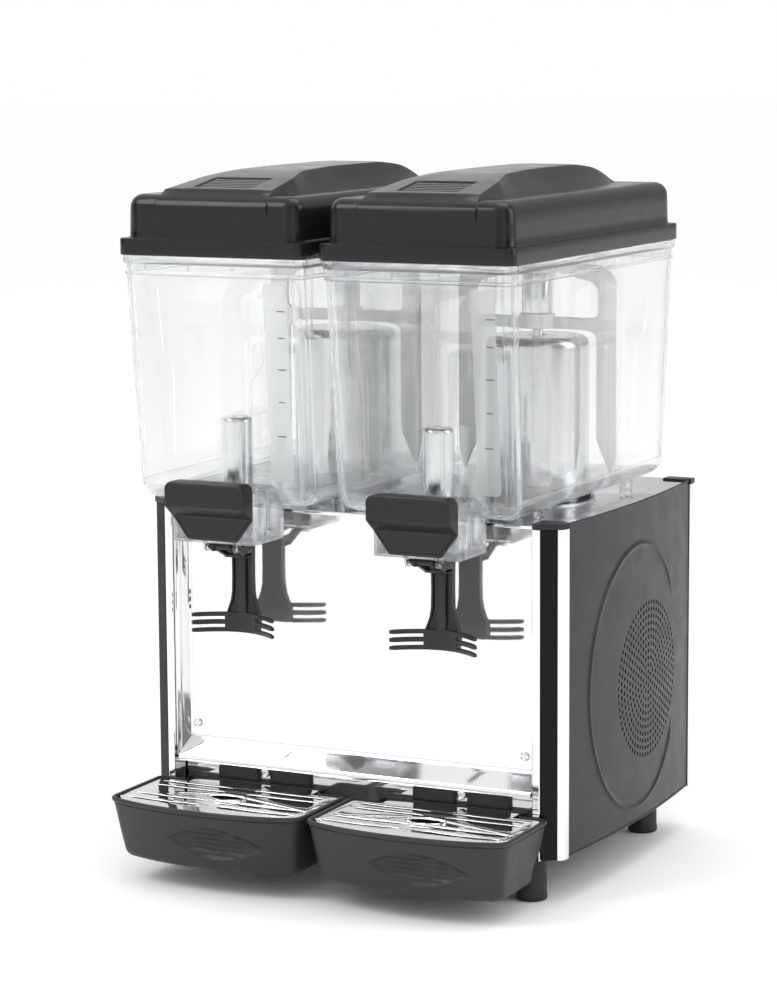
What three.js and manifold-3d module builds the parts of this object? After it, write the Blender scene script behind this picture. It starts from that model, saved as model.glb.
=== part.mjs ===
// Twin-bowl chilled drink dispenser. Millimetres, +Z up, front towards -Y.
import * as THREE from 'three';
import { mergeVertices } from 'three/addons/utils/BufferGeometryUtils.js';
import Module from 'manifold-3d';

const wasm = await Module();
wasm.setup();

// ---------------------------------------------------------------- dimensions
const Y_SHIFT = -107;          // front face of the corner posts lies this far from the middle
const UNIT_X = 100;            // each bowl is centred this far from the middle
// cabinet
const POST_OUT = 207.3;        // outer face of a corner post
const POST_IN = 180.9;
const DEPTH = 322;             // front face of front posts to rear face of rear posts
const POST_Z0 = 39, POST_Z1 = 333.4;
const SIDE_BULGE = 7.7, SIDE_T = 2.4, SIDE_Z0 = 40, SIDE_Z1 = 338;
const PANEL_Y = 18.6, PANEL_T = 1.2, PANEL_HALF = 172.3, PANEL_Z0 = 113.5;
const LIP_Y = 2, LIP_Z0 = 93.6, LIP_Z1 = 97.5;
const LOWER_Y = 21;
const DECK_Z0 = 333.6, DECK_Z1 = 337;
const CAP_Z1 = 338.7;
const FOOT_R = 14, FOOT_H = 38.7, FOOT_X = 174, FOOT_Y0 = 15, FOOT_Y1 = 278;
const GRILLE_Y = 192, GRILLE_Z = 169;
// cooling drum, drive and stirrer
const AXIS_Y = 195;
const DRUM_R = 48, DRUM_Z0 = 337.3, DRUM_Z1 = 483;
const SHAFT_R = 5, SHAFT_Z0 = 333.8, SHAFT_Z1 = 558;
const TUBE_R = 13, TUBE_Z0 = 503.3, TUBE_Z1 = 577;
const PADDLE_R = 80, PADDLE_T = 4;
// bowl
const WALL = 2.5;
const BOWL_Z0 = 345, BOWL_Z1 = 566, FLANGE_HALF = 92.2;
const BOWL_TOP = [-90.7, 90.7, -63.4, 311], BOWL_BOT = [-88, 88, -44.5, 295.2], BOWL_CORNER = 11;
const COLLAR_R0 = 50.6, COLLAR_R1 = 54;
// lid
const RIM_HALF = 92.8, RIM_Y0 = -67.5, RIM_Y1 = 315.2, RIM_Z0 = 566.4, RIM_Z1 = 581.3;
const LID_INSET = 5.7, LID_SHOULDER = 620, HUMP_Z = 640;
// tap
const STEM_Y = -19.2, STEM_Z0 = 298, PLUNGER_R = 13.8, PLUNGER_Z1 = 421;
const PIVOT_Y = -48, PIVOT_Z = 307;
const PAD_Z0 = 223.2, PAD_Z1 = 241.5, PAD_HALF = 40.6;
// drip tray
const TRAY_HALF = 97.5, TRAY_Z0 = 22, TRAY_Z1 = 78, TRAY_FRONT = -108.6;

// ---------------------------------------------------------------- helpers
function solid(geo) {
  const g = geo.index ? geo.toNonIndexed() : geo.clone();
  g.deleteAttribute('normal');
  g.deleteAttribute('uv');
  const m = mergeVertices(g, 1e-3);
  const p = m.attributes.position.array, ix = m.index.array, tri = [];
  let vol = 0;
  for (let i = 0; i < ix.length; i += 3) {
    const a = ix[i], b = ix[i + 1], c = ix[i + 2];
    if (a === b || b === c || a === c) continue;
    tri.push(a, b, c);
    const A = a * 3, B = b * 3, C = c * 3;
    vol += p[A] * (p[B + 1] * p[C + 2] - p[B + 2] * p[C + 1])
         - p[A + 1] * (p[B] * p[C + 2] - p[B + 2] * p[C])
         + p[A + 2] * (p[B] * p[C + 1] - p[B + 1] * p[C]);
  }
  if (vol < 0) for (let i = 0; i < tri.length; i += 3) { const t = tri[i + 1]; tri[i + 1] = tri[i + 2]; tri[i + 2] = t; }
  return new wasm.Manifold(new wasm.Mesh({ numProp: 3, vertProperties: new Float32Array(p), triVerts: new Uint32Array(tri) }));
}
function geometry(man) {
  const me = man.getMesh();
  const g = new THREE.BufferGeometry();
  g.setAttribute('position', new THREE.BufferAttribute(Float32Array.from(me.vertProperties), 3));
  g.setIndex(new THREE.BufferAttribute(Uint32Array.from(me.triVerts), 1));
  g.computeVertexNormals();
  return g;
}
const join = (...s) => s.reduce((a, b) => a.add(b));
const cut = (a, ...s) => s.reduce((x, b) => x.subtract(b), a);

function box(x0, x1, y0, y1, z0, z1) {
  const g = new THREE.BoxGeometry(x1 - x0, y1 - y0, z1 - z0);
  g.translate((x0 + x1) / 2, (y0 + y1) / 2, (z0 + z1) / 2);
  return solid(g);
}
function cylZ(x, y, r, z0, z1, n = 16, r2 = r) {
  const g = new THREE.CylinderGeometry(r2, r, z1 - z0, n);
  g.rotateX(Math.PI / 2);
  g.translate(x, y, (z0 + z1) / 2);
  return solid(g);
}
function cylY(x, z, r, y0, y1, n = 24) {
  const g = new THREE.CylinderGeometry(r, r, y1 - y0, n);
  g.translate(x, (y0 + y1) / 2, z);
  return solid(g);
}
function cylX(y, z, r, x0, x1, n = 24) {
  const g = new THREE.CylinderGeometry(r, r, x1 - x0, n);
  g.rotateZ(Math.PI / 2);
  g.translate((x0 + x1) / 2, y, z);
  return solid(g);
}
function shapeOf(pts) {
  if (pts instanceof THREE.Shape) return pts;
  return new THREE.Shape(pts.map(([x, y]) => new THREE.Vector2(x, y)));
}
function prismZ(pts, z0, z1, seg = 5) {
  const g = new THREE.ExtrudeGeometry(shapeOf(pts), { depth: z1 - z0, bevelEnabled: false, curveSegments: seg });
  g.translate(0, 0, z0);
  return solid(g);
}
// outline in (y, z), extruded along x
function prismX(pts, x0, x1, seg = 5) {
  const g = new THREE.ExtrudeGeometry(shapeOf(pts), { depth: x1 - x0, bevelEnabled: false, curveSegments: seg });
  g.applyMatrix4(new THREE.Matrix4().makeBasis(new THREE.Vector3(0, 1, 0), new THREE.Vector3(0, 0, 1), new THREE.Vector3(1, 0, 0)));
  g.translate(x0, 0, 0);
  return solid(g);
}
// outline in (x, z), extruded along y
function prismY(pts, y0, y1, seg = 5) {
  const g = new THREE.ExtrudeGeometry(shapeOf(pts), { depth: y1 - y0, bevelEnabled: false, curveSegments: seg });
  g.applyMatrix4(new THREE.Matrix4().makeBasis(new THREE.Vector3(1, 0, 0), new THREE.Vector3(0, 0, 1), new THREE.Vector3(0, -1, 0)));
  g.translate(0, y1, 0);
  return solid(g);
}
// profile of (radius, z) turned about a vertical axis
function turned(profile, x, y, n = 16) {
  const g = new THREE.LatheGeometry(profile.map(([r, z]) => new THREE.Vector2(r, z)), n);
  g.rotateX(Math.PI / 2);
  g.translate(x, y, 0);
  return solid(g);
}
function roundRect(x0, x1, y0, y1, r) {
  const s = new THREE.Shape();
  s.moveTo(x0 + r, y0);
  s.lineTo(x1 - r, y0); s.absarc(x1 - r, y0 + r, r, -Math.PI / 2, 0, false);
  s.lineTo(x1, y1 - r); s.absarc(x1 - r, y1 - r, r, 0, Math.PI / 2, false);
  s.lineTo(x0 + r, y1); s.absarc(x0 + r, y1 - r, r, Math.PI / 2, Math.PI, false);
  s.lineTo(x0, y0 + r); s.absarc(x0 + r, y0 + r, r, Math.PI, Math.PI * 1.5, false);
  return s;
}
// stack of rounded rectangles: sections are [z, x0, x1, y0, y1, r]
function stack(secs, seg = 3) {
  const g = new THREE.ExtrudeGeometry(roundRect(-10, 10, -10, 10, 5), { depth: 1, steps: secs.length - 1, bevelEnabled: false, curveSegments: seg });
  const p = g.attributes.position;
  for (let i = 0; i < p.count; i++) {
    const [z, x0, x1, y0, y1, r] = secs[Math.round(p.getZ(i) * (secs.length - 1))];
    const x = p.getX(i), y = p.getY(i), k = r / 5;
    p.setXYZ(i, x < 0 ? x0 + r + (x + 5) * k : x1 - r + (x - 5) * k, y < 0 ? y0 + r + (y + 5) * k : y1 - r + (y - 5) * k, z);
  }
  return solid(g);
}
const mix = (a, b, t) => a + (b - a) * t;

// ---------------------------------------------------------------- scene graph
const dispenser = new THREE.Group();
const body = new THREE.Group();
body.position.set(0, Y_SHIFT, 0);
dispenser.add(body);
const left = new THREE.Group(), right = new THREE.Group();
left.position.set(-UNIT_X, 0, 0);
right.position.set(UNIT_X, 0, 0);
body.add(left, right);

function put(parent, name, man, color, roughness, metalness, opacity = 1) {
  const mat = new THREE.MeshStandardMaterial({ color, roughness, metalness, transparent: opacity < 1, opacity });
  const mesh = new THREE.Mesh(geometry(man), mat);
  mesh.name = name;
  parent.add(mesh);
  return mesh;
}
const STEEL = [0xd8dadc, 0.12, 1], BLACK = [0x1b1b1d, 0.35, 0], GREY = [0x2c2d30, 0.45, 0], RUBBER = [0x101011, 0.8, 0];
const CLEAR = [0xf2f6f8, 0.05, 0, 0.3], WHITE = [0xe9e9e6, 0.4, 0, 0.85];

// ---------------------------------------------------------------- cabinet
const flipX = (pts) => pts.map(([x, y]) => [-x, y]);
const postOutline = [[POST_IN, 0], [187.9, 0], [188.9, 3.4], [200.6, 10.4], [202.1, 8.6], [POST_OUT, 20.2], [204.5, 20.9], [201, 24], [POST_IN, 24]];
const insertOutline = [[188.9, 0.9], [201.4, 8.6], [200.5, 9.9], [189.4, 3.2]];
const rearOutline = [[POST_IN, DEPTH], [POST_IN, 308], [203.6, 308], [203.6, 311.8], [POST_OUT, 311.8], [POST_OUT, DEPTH - 0.8], [POST_OUT - 0.8, DEPTH]].reverse();
const rearCapOutline = [[180.7, 322.6], [180.7, 307.7], [204.4, 307.7], [204.4, 311.5], [208, 311.5], [208, 321.8], [207.2, 322.6]].reverse();
const capOutline = [[180.7, -0.6], [188.2, -0.6], [202.6, 8.1], [208, 20.2], [207.6, 21.1], [203.8, 21.1], [201, 24.2], [180.7, 24.2]];
for (const [side, fx] of [['left', flipX], ['right', (p) => p]]) {
  for (const [end, post, cap] of [['front', postOutline, capOutline], ['rear', rearOutline, rearCapOutline]]) {
    put(body, `post_${end}_${side}`, prismZ(fx(post), POST_Z0, POST_Z1), ...STEEL);
    put(body, `post_cap_${end}_${side}`, prismZ(fx(cap), POST_Z1 + 0.3, CAP_Z1), ...BLACK);
  }
  put(body, `post_insert_front_${side}`, prismZ(fx(insertOutline), POST_Z0 + 0.3, POST_Z1), ...BLACK);
}

// side panels: bowed sheet with a round field of vent holes
function sideArc(x, y0, y1, n) {
  const out = [];
  for (let i = 0; i <= n; i++) {
    const y = mix(y0, y1, i / n), u = (y - 166.35) / 144.75;
    out.push([x + SIDE_BULGE * (1 - u * u), y]);
  }
  return out;
}
for (const [side, s] of [['left', -1], ['right', 1]]) {
  const outline = [...sideArc(POST_OUT, 21.6, 311.1, 10), ...sideArc(POST_OUT - SIDE_T, 21.6, 311.1, 10).reverse()].map(([x, y]) => [s * x, y]);
  let panel = prismZ(outline, SIDE_Z0, SIDE_Z1);
  for (const [r, n] of [[0, 1], [30, 6], [60, 12]]) {
    for (let i = 0; i < n; i++) {
      const a = (i + 0.5 * (r === 60)) / n * Math.PI * 2;
      panel = panel.subtract(cylX(GRILLE_Y + r * Math.cos(a), GRILLE_Z + r * Math.sin(a), 6, s > 0 ? 200 : -220, s > 0 ? 220 : -200, 6));
    }
  }
  put(body, `side_panel_${side}`, panel, ...GREY);
}

// front panel: folded mirror sheet, with splayed cheeks and a drip lip
const frontSheet = prismX([[PANEL_Y, 333.2], [PANEL_Y, PANEL_Z0 - 1], [PANEL_Y + PANEL_T, PANEL_Z0 - 1], [PANEL_Y + PANEL_T, 333.2]].reverse(), -PANEL_HALF, PANEL_HALF);
const frontLip = prismX([[PANEL_Y, PANEL_Z0], [LIP_Y, LIP_Z1], [LIP_Y, LIP_Z0], [19.4, LIP_Z0], [19.4, LIP_Z0 + 1.4], [LIP_Y + 1.4, LIP_Z0 + 1.4], [LIP_Y + 1.4, LIP_Z1 - 0.4], [PANEL_Y + PANEL_T, PANEL_Z0 - 0.6], [PANEL_Y + PANEL_T, PANEL_Z0 + 1]], -178, 178);
const cheek = [[PANEL_HALF - 0.6, PANEL_Y], [179, 3], [180.4, 3], [PANEL_HALF + 0.8, PANEL_Y + PANEL_T], [PANEL_HALF - 0.6, PANEL_Y + PANEL_T]];
put(body, 'front_panel', join(frontSheet, frontLip, prismZ(cheek, LIP_Z1 - 0.5, 333.2), prismZ(flipX(cheek), LIP_Z1 - 0.5, 333.2)), ...STEEL);
put(body, 'lower_front_panel', box(-179.5, 179.5, LOWER_Y, LOWER_Y + 1.2, 42.4, 92.8), ...STEEL);
for (const [side, s] of [['left', -1], ['right', 1]]) {
  put(body, `panel_screw_${side}`, join(cylY(s * 166, 127, 4, 16.4, 18.3, 12), cylY(s * 166, 127, 2.6, 15.6, 16.5, 12)), ...STEEL);
  put(body, `tray_screw_${side}`, join(cylY(s * UNIT_X + 3.5, 86, 4.6, 18, LOWER_Y - 0.3, 12), cylY(s * UNIT_X + 3.5, 86, 3, 16.8, 18.1, 12)), ...STEEL);
}

// base, deck, feet
put(body, 'base_pan', join(box(-180.3, 180.3, 20.6, 316, 39, 42), box(-203.6, 203.6, 24.5, 307.5, 39, 42)), ...GREY);
const deckOutline = [...sideArc(204.3, 24.7, 307.3, 10), ...sideArc(204.3, 24.7, 307.3, 10).reverse().map(([x, y]) => [-x, y])];
let deck = join(prismZ(deckOutline, DECK_Z0, DECK_Z1), box(-180.3, 180.3, 1, 321, DECK_Z0, DECK_Z1));
for (const s of [-1, 1]) deck = deck.subtract(cylZ(s * UNIT_X, AXIS_Y, 40, 320, 345, 16));
put(body, 'top_deck', deck, ...STEEL);
for (const [end, y] of [['front', FOOT_Y0], ['rear', FOOT_Y1]]) {
  for (const [side, s] of [['left', -1], ['right', 1]]) {
    put(body, `foot_${end}_${side}`, cylZ(s * FOOT_X, y, FOOT_R - 0.8, 0, FOOT_H, 16, FOOT_R), ...RUBBER);
  }
}

// rear panel with louvre slots, switch windows, knob and inlet holes
const SWITCH_X = [-60, -20, 20], CTRL_Z = 292, KNOB_X = 84, INLET_X = -140, INLET_Z = 74;
let rear = box(-179.8, 179.8, 305, 306.5, 42.4, 333.2);
for (let i = 0; i < 9; i++) rear = rear.subtract(box(-20, 150, 300, 310, 80 + i * 18, 86 + i * 18));
for (const x of SWITCH_X) rear = rear.subtract(box(x - 11, x + 11, 300, 310, CTRL_Z - 8.5, CTRL_Z + 8.5));
rear = cut(rear, cylY(KNOB_X, CTRL_Z, 4.4, 300, 310, 16), cylY(INLET_X, INLET_Z, 8.4, 300, 310, 16));
put(body, 'rear_panel', rear, ...GREY);
['power_switch', 'mixer_switch_left', 'mixer_switch_right'].forEach((name, i) => {
  const x = SWITCH_X[i];
  put(body, name, prismX([[298, CTRL_Z - 6], [298, CTRL_Z + 6], [308, CTRL_Z + 7.2], [311, CTRL_Z + 6.6], [309, CTRL_Z], [307.6, CTRL_Z - 7]].reverse(), x - 9.8, x + 9.8), ...BLACK);
});
const knobBody = new THREE.LatheGeometry([[0, 300], [3.6, 300], [3.6, 307.6], [14, 307.6], [13, 317.5], [12, 318.5], [0, 318.5]].map(([r, y]) => new THREE.Vector2(r, y)), 16);
knobBody.translate(KNOB_X, 0, CTRL_Z);
put(body, 'thermostat_knob', join(solid(knobBody), box(KNOB_X - 1, KNOB_X + 1, 317, 320, CTRL_Z, CTRL_Z + 11)), ...BLACK);
put(body, 'cord_inlet', cut(join(cylY(INLET_X, INLET_Z, 8, 298, 316, 16), cylY(INLET_X, INLET_Z, 12, 306.9, 311, 16)), cylY(INLET_X, INLET_Z, 4, 290, 330, 12)), ...RUBBER);

// refrigeration pack inside the cabinet
put(body, 'compressor', join(turned([[0, 50], [40, 50], [54, 62], [57, 100], [54, 150], [36, 172], [0, 176]], -95, 105, 16), box(-160, -30, 70, 140, 42.4, 52)), 0x151517, 0.5, 0.2);
let condenser = box(174, 198, 112, 272, 42.4, 248);
for (let i = 0; i < 7; i++) condenser = condenser.subtract(box(178, 202, 118 + i * 21.5, 131 + i * 21.5, 60, 240));
put(body, 'condenser', condenser, 0x9a9ca0, 0.5, 1);
put(body, 'fan_motor', join(cylX(GRILLE_Y, GRILLE_Z, 24, 112, 140, 20), box(118, 132, GRILLE_Y - 10, GRILLE_Y + 10, 42.4, 160)), 0x46484c, 0.5, 0.8);
const bladeShape = new THREE.Shape();
for (let i = 0; i < 5; i++) {
  const a = i / 5 * Math.PI * 2, P = (r, d) => [r * Math.cos(a + d), r * Math.sin(a + d)];
  const q = [P(16, 0), P(40, -0.1), P(60, 0), P(62, 0.45), P(42, 0.62), P(16, 0.8)];
  q.forEach(([u, v], j) => (i === 0 && j === 0 ? bladeShape.moveTo(u, v) : bladeShape.lineTo(u, v)));
}
const bladeGeo = new THREE.ExtrudeGeometry(bladeShape, { depth: 7, bevelEnabled: false });
bladeGeo.applyMatrix4(new THREE.Matrix4().makeBasis(new THREE.Vector3(0, 1, 0), new THREE.Vector3(0, 0, 1), new THREE.Vector3(1, 0, 0)));
bladeGeo.translate(148, GRILLE_Y, GRILLE_Z);
put(body, 'fan', join(solid(bladeGeo), cylX(GRILLE_Y, GRILLE_Z, 18, 144, 162, 14), cylX(GRILLE_Y, GRILLE_Z, 4, 140.4, 146, 10)), 0x3a3c40, 0.5, 0);

// ---------------------------------------------------------------- one unit, built about x = 0
function stirrerFrame() {
  const R = PADDLE_R, s = new THREE.Shape(), half = [[R, 533], [R, 376], [75.5, 356], [73, 356], [59.3, 388], [59.3, 490]];
  const pts = [[0, 558], [50, 549], [66, 547], ...half, ...half.map(([x, z]) => [-x, z]).reverse(), [-66, 547], [-50, 549]];
  pts.forEach(([x, z], i) => (i ? s.lineTo(x, z) : s.moveTo(x, z)));
  let frame = prismY(s, AXIS_Y - PADDLE_T / 2, AXIS_Y + PADDLE_T / 2);
  for (const f of [1, -1]) {
    const h = [[14, 499.5], [56, 499.5], [59.3, 503], [59.3, 527], [55, 532], [14, 541.5]].map(([x, z]) => [f * x, z]);
    frame = frame.subtract(prismY(h, AXIS_Y - 9, AXIS_Y + 9));
  }
  const joined = join(frame, cylZ(0, AXIS_Y, 16.5, 489, 503, 16), cylZ(0, AXIS_Y, 17.5, 541, 555, 16));
  return cut(joined, cylZ(0, AXIS_Y, SHAFT_R + 0.6, 470, 520, 12), cylZ(0, AXIS_Y, TUBE_R + 0.5, 503, 600, 16));
}

function bowl() {
  const at = (z) => { const t = (z - BOWL_Z0) / (BOWL_Z1 - BOWL_Z0); return BOWL_TOP.map((v, i) => mix(BOWL_BOT[i], v, t)); };
  const sec = (z, inset, r) => { const [a, b, c, d] = at(z); return [z, a + inset, b - inset, c + inset, d - inset, Math.max(r - inset, 3)]; };
  const R = 18, C = BOWL_CORNER;
  const round = (h, R_) => R_ - Math.sqrt(Math.max(0, R_ * R_ - (R_ - h) * (R_ - h)));
  const outer = stack([sec(345, R, C), sec(346.4, round(1.4, R), C), sec(350, round(5, R), C), sec(355.5, round(10.5, R), C), sec(363, 0, C), sec(BOWL_Z1, 0, C)]);
  const r2 = R - WALL;
  const inner = stack([sec(348, R, C), sec(349.3, WALL + round(1.3, r2), C), sec(352.5, WALL + round(4.5, r2), C), sec(357.5, WALL + round(9.5, r2), C), sec(363.5, WALL, C), sec(BOWL_Z1 + 1, WALL, C)]);
  const [a, b, c, d] = at(BOWL_Z1);
  const flange = stack([[559, -FLANGE_HALF, FLANGE_HALF, -66.2, 312.6, C], [BOWL_Z1, -FLANGE_HALF, FLANGE_HALF, -66.2, 312.6, C]]);
  const rib = stack([[549, a - 1.3, b + 1.3, c - 1.2, d + 0.4, C], [552, a - 1.3, b + 1.3, c - 1.2, d + 0.4, C]]);
  // tap housing at the front of the floor
  const nose = prismX([[-64, 312], [-64, 358], [-59, 363], [-30, 363], [-7.5, 352], [-7.5, 312]].reverse(), -44, 44);
  const noseIn = prismX([[-61.6, 314.4], [-61.6, 357], [-58, 360.6], [-24, 364], [-9.9, 362], [-9.9, 314.4]].reverse(), -41.6, 41.6);
  const join1 = join(outer, flange, rib, nose, cylZ(0, AXIS_Y, COLLAR_R1, 338.6, 347, 24));
  let v = cut(join1, inner, noseIn, cylZ(0, AXIS_Y, COLLAR_R0 + 0.5, 330, 352, 24), cylZ(0, STEM_Y, 5.4, 305, 320, 16));
  for (const s of [-1, 1]) {
    const lug = prismX([[-53, 313], [-53, 306], [-50, 302.5], [-46, 302.5], [-43, 306], [-43, 313]], s > 0 ? 13 : -17, s > 0 ? 17 : -13);
    v = v.add(lug.subtract(cylX(PIVOT_Y, PIVOT_Z, 3.2, -30, 30, 14)));
    for (const y of [38, 236]) v = v.add(cylZ(s * 72, y, 6, 337.4, 347, 12));
  }
  return v;
}

function lid() {
  const i0 = LID_INSET, w = RIM_HALF - i0, y0 = RIM_Y0 + i0, y1 = RIM_Y1 - i0;
  const rim = stack([[RIM_Z0, -RIM_HALF, RIM_HALF, RIM_Y0, RIM_Y1, 9], [RIM_Z1, -RIM_HALF, RIM_HALF, RIM_Y0, RIM_Y1, 9]]);
  const S = (z, i, r) => [z, -w + i, w - i, y0 + i, y1 - i, r];
  const shell = stack([S(RIM_Z1 - 1, 0, 14), S(607, 0, 14), S(613.5, 2, 13), S(617.8, 6, 11), S(LID_SHOULDER, 13, 7)]);
  // raised spine: [y, half width at foot, half width at top, z of top]
  const hump = (rows, drop) => {
    const g = new THREE.ExtrudeGeometry(shapeOf([[-2, 0], [2, 0], [1, 1], [-1, 1]]), { depth: 1, steps: rows.length - 1, bevelEnabled: false });
    const p = g.attributes.position;
    for (let i = 0; i < p.count; i++) {
      const [y, foot, top, z] = rows[Math.round(p.getZ(i) * (rows.length - 1))];
      const x = p.getX(i), v = p.getY(i), sg = Math.sign(x);
      p.setXYZ(i, v < 0.5 ? sg * foot : sg * top, y, v < 0.5 ? drop : z);
    }
    return solid(g);
  };
  const outer = hump([[-63.4, 56, 56, 606], [-60, 56, 55.5, 613], [-49, 56, 53.5, 624.5], [8, 58, 44, 634], [44, 60, 33, 639], [110, 60, 30, HUMP_Z], [214, 60, 30, HUMP_Z], [256, 56, 32, 634.5], [290, 50, 40, 619]], 585);
  const inner = hump([[-56, 52, 52, 609], [8, 52, 40, 631], [44, 52, 30, 636], [110, 52, 27, 637.2], [214, 52, 27, 637.2], [256, 50, 29, 631], [284, 46, 38, 617]], 560);
  const innerBox = stack([[RIM_Z0 - 5, -84.3, 84.3, -59, 306.7, 11.5], [604, -84.3, 84.3, -59, 306.7, 11.5], [611, -82, 82, -56.8, 304.5, 10.5], [616.4, -75, 75, -49.8, 297.5, 6]]);
  const pocket = stack([[RIM_Z0 - 5, -90.8, 90.8, -65.5, 313.2, 7.5], [RIM_Z1 - 3, -90.8, 90.8, -65.5, 313.2, 7.5]]);
  let v = cut(join(rim, shell, outer), pocket, innerBox, inner);
  for (let i = 0; i < 6; i++) v = v.subtract(box(-30, 30, -38 + i * 7.4, -35.4 + i * 7.4, 609, 645));
  return v;
}

function tapCover() {
  const face = new THREE.Shape();
  [[-24.7, 314.6], [24.7, 314.6], [40.5, 335.3], [40.3, 345.8], [40.2, 362], [38, 366.5], [34, 368.2], [-34, 368.2], [-38, 366.5], [-40.2, 362], [-40.3, 345.8], [-40.5, 335.3]].forEach(([x, z], i) => (i ? face.lineTo(x, z) : face.moveTo(x, z)));
  const prof = prismX([[-64.4, 312], [-67, 312], [-66.2, 335], [-81, 345.8], [-81, 366], [-79.4, 369], [-64.4, 369]].reverse(), -60, 60);
  return prismY(face, -84, -64.4).intersect(prof);
}

function plunger() {
  return turned([[0, STEM_Z0], [4.2, STEM_Z0], [4.2, 315.2], [8.4, 315.2], [8.4, 320], [4.2, 322], [4.2, 350], [PLUNGER_R, 352.5], [PLUNGER_R, PLUNGER_Z1 - 2], [PLUNGER_R - 2, PLUNGER_Z1], [0, PLUNGER_Z1]], 0, STEM_Y, 14);
}

function lever() {
  const n = 8, front = [], back = [];
  for (let i = 0; i <= n; i++) {
    const x = mix(-PAD_HALF, PAD_HALF, i / n), y = -15.5 - 18.5 * (x / PAD_HALF) ** 2;
    front.push([x, y]); back.push([x, y + 3]);
  }
  let pad = prismZ([...front, ...back.reverse()], PAD_Z0, PAD_Z1);
  const g = (PAD_Z1 - PAD_Z0) / 5;
  for (const k of [1, 3]) {
    const z0 = PAD_Z0 + g * k + 0.35, z1 = PAD_Z0 + g * (k + 1) - 0.35;
    pad = cut(pad, box(15, 60, -60, 20, z0, z1), box(-60, -15, -60, 20, z0, z1));
  }
  const arm = prismX([[-14, PAD_Z0 + 1], [-6, PAD_Z0 + 1], [-6, 303], [-12, 303], [-14, 298]].reverse(), -10.5, 10.5);
  const flare = prismY([[-10.4, 258], [-17, PAD_Z1], [-15, PAD_Z0 + 1], [15, PAD_Z0 + 1], [17, PAD_Z1], [10.4, 258]], -14, -8);
  const rib = prismX([[-16.5, PAD_Z1 - 2], [-13, PAD_Z1 - 2], [-13, 296], [-15, 296]].reverse(), -4.5, 4.5);
  let v = join(arm, flare, rib, pad);
  for (const s of [-1, 1]) {
    v = v.add(prismX([[-52, 304], [-50, 302.5], [-44, 302.5], [-26, 294], [-8, 294], [-8, 303], [-26, 303], [-44, 310.3], [-50, 310.3], [-52, 308.5]].reverse(), s > 0 ? 6.6 : -10.4, s > 0 ? 10.4 : -6.6));
  }
  return join(v, box(-10.4, 10.4, -27, -10, 293.6, 297.4), cylX(PIVOT_Y, PIVOT_Z, 2.7, -16.4, 16.4, 12));
}

function tray() {
  const rimShape = new THREE.Shape();
  const H = TRAY_HALF;
  rimShape.moveTo(-66, 16);
  rimShape.lineTo(-69, 13); rimShape.lineTo(-69, 3); rimShape.lineTo(-72, -1); rimShape.lineTo(-H + 3, -1); rimShape.lineTo(-H, -4);
  rimShape.lineTo(-H, -84); rimShape.lineTo(-H + 3, -91); rimShape.lineTo(-H + 10, -94.5);
  for (let i = 1; i < 10; i++) { const x = mix(-H + 10, H - 10, i / 10); rimShape.lineTo(x, TRAY_FRONT + 13.5 * (x / (H - 10)) ** 2); }
  rimShape.lineTo(H - 10, -94.5); rimShape.lineTo(H - 3, -91); rimShape.lineTo(H, -84);
  rimShape.lineTo(H, -4); rimShape.lineTo(H - 3, -1); rimShape.lineTo(72, -1); rimShape.lineTo(69, 3); rimShape.lineTo(69, 13); rimShape.lineTo(66, 16);
  const loft = (rows, off) => {
    const g = new THREE.ExtrudeGeometry(rimShape, { depth: 1, steps: rows.length - 1, bevelEnabled: false });
    const p = g.attributes.position;
    for (let i = 0; i < p.count; i++) {
      const [z, kx, kf, dy] = rows[Math.round(p.getZ(i) * (rows.length - 1))];
      const x = p.getX(i), y = p.getY(i);
      const X = x * (1 - kx - off / H), Y = y > -20 ? y - dy - off : (y + dy * 0) * kf + off;
      p.setXYZ(i, X, Y, z);
    }
    return solid(g);
  };
  const outer = loft([[TRAY_Z0, 0.12, 0.86, 20], [TRAY_Z0 + 4, 0.092, 0.9, 18.5], [40, 0.07, 0.93, 16.2], [52, 0.05, 0.95, 4], [TRAY_Z1 - 5, 0.018, 0.985, 0.6], [TRAY_Z1 - 4.6, 0, 1, 0], [TRAY_Z1, 0, 1, 0]], 0);
  const inner = loft([[TRAY_Z0 + 3, 0.115, 0.875, 19.5], [TRAY_Z0 + 7, 0.088, 0.9, 18.5], [40.5, 0.07, 0.93, 16.2], [52.5, 0.05, 0.95, 4], [TRAY_Z1 - 6.4, 0.022, 0.98, 1], [TRAY_Z1 - 6, 0.003, 0.995, 0], [TRAY_Z1 + 2, 0.003, 0.995, 0]], 2.5);
  const flap = (x0, x1) => box(x0, x1, 12.6, 19.6, TRAY_Z1 - 12, 90).subtract(box(x0 - 1, x1 + 1, 10, 16.4, TRAY_Z1, 95));
  // finger grip hollow across the front
  const grip = new THREE.SphereGeometry(1, 16, 8);
  grip.scale(44, 7, 14);
  grip.translate(0, TRAY_FRONT + 1, 43);
  let v = cut(outer, inner);
  v = cut(v, solid(grip).intersect(box(-60, 60, -130, -96.8, 20, 70)).intersect(box(-60, 60, -130, -80, 0, 100)).subtract(inner));
  return join(v, flap(-44, -3), flap(10, 51));
}

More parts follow.
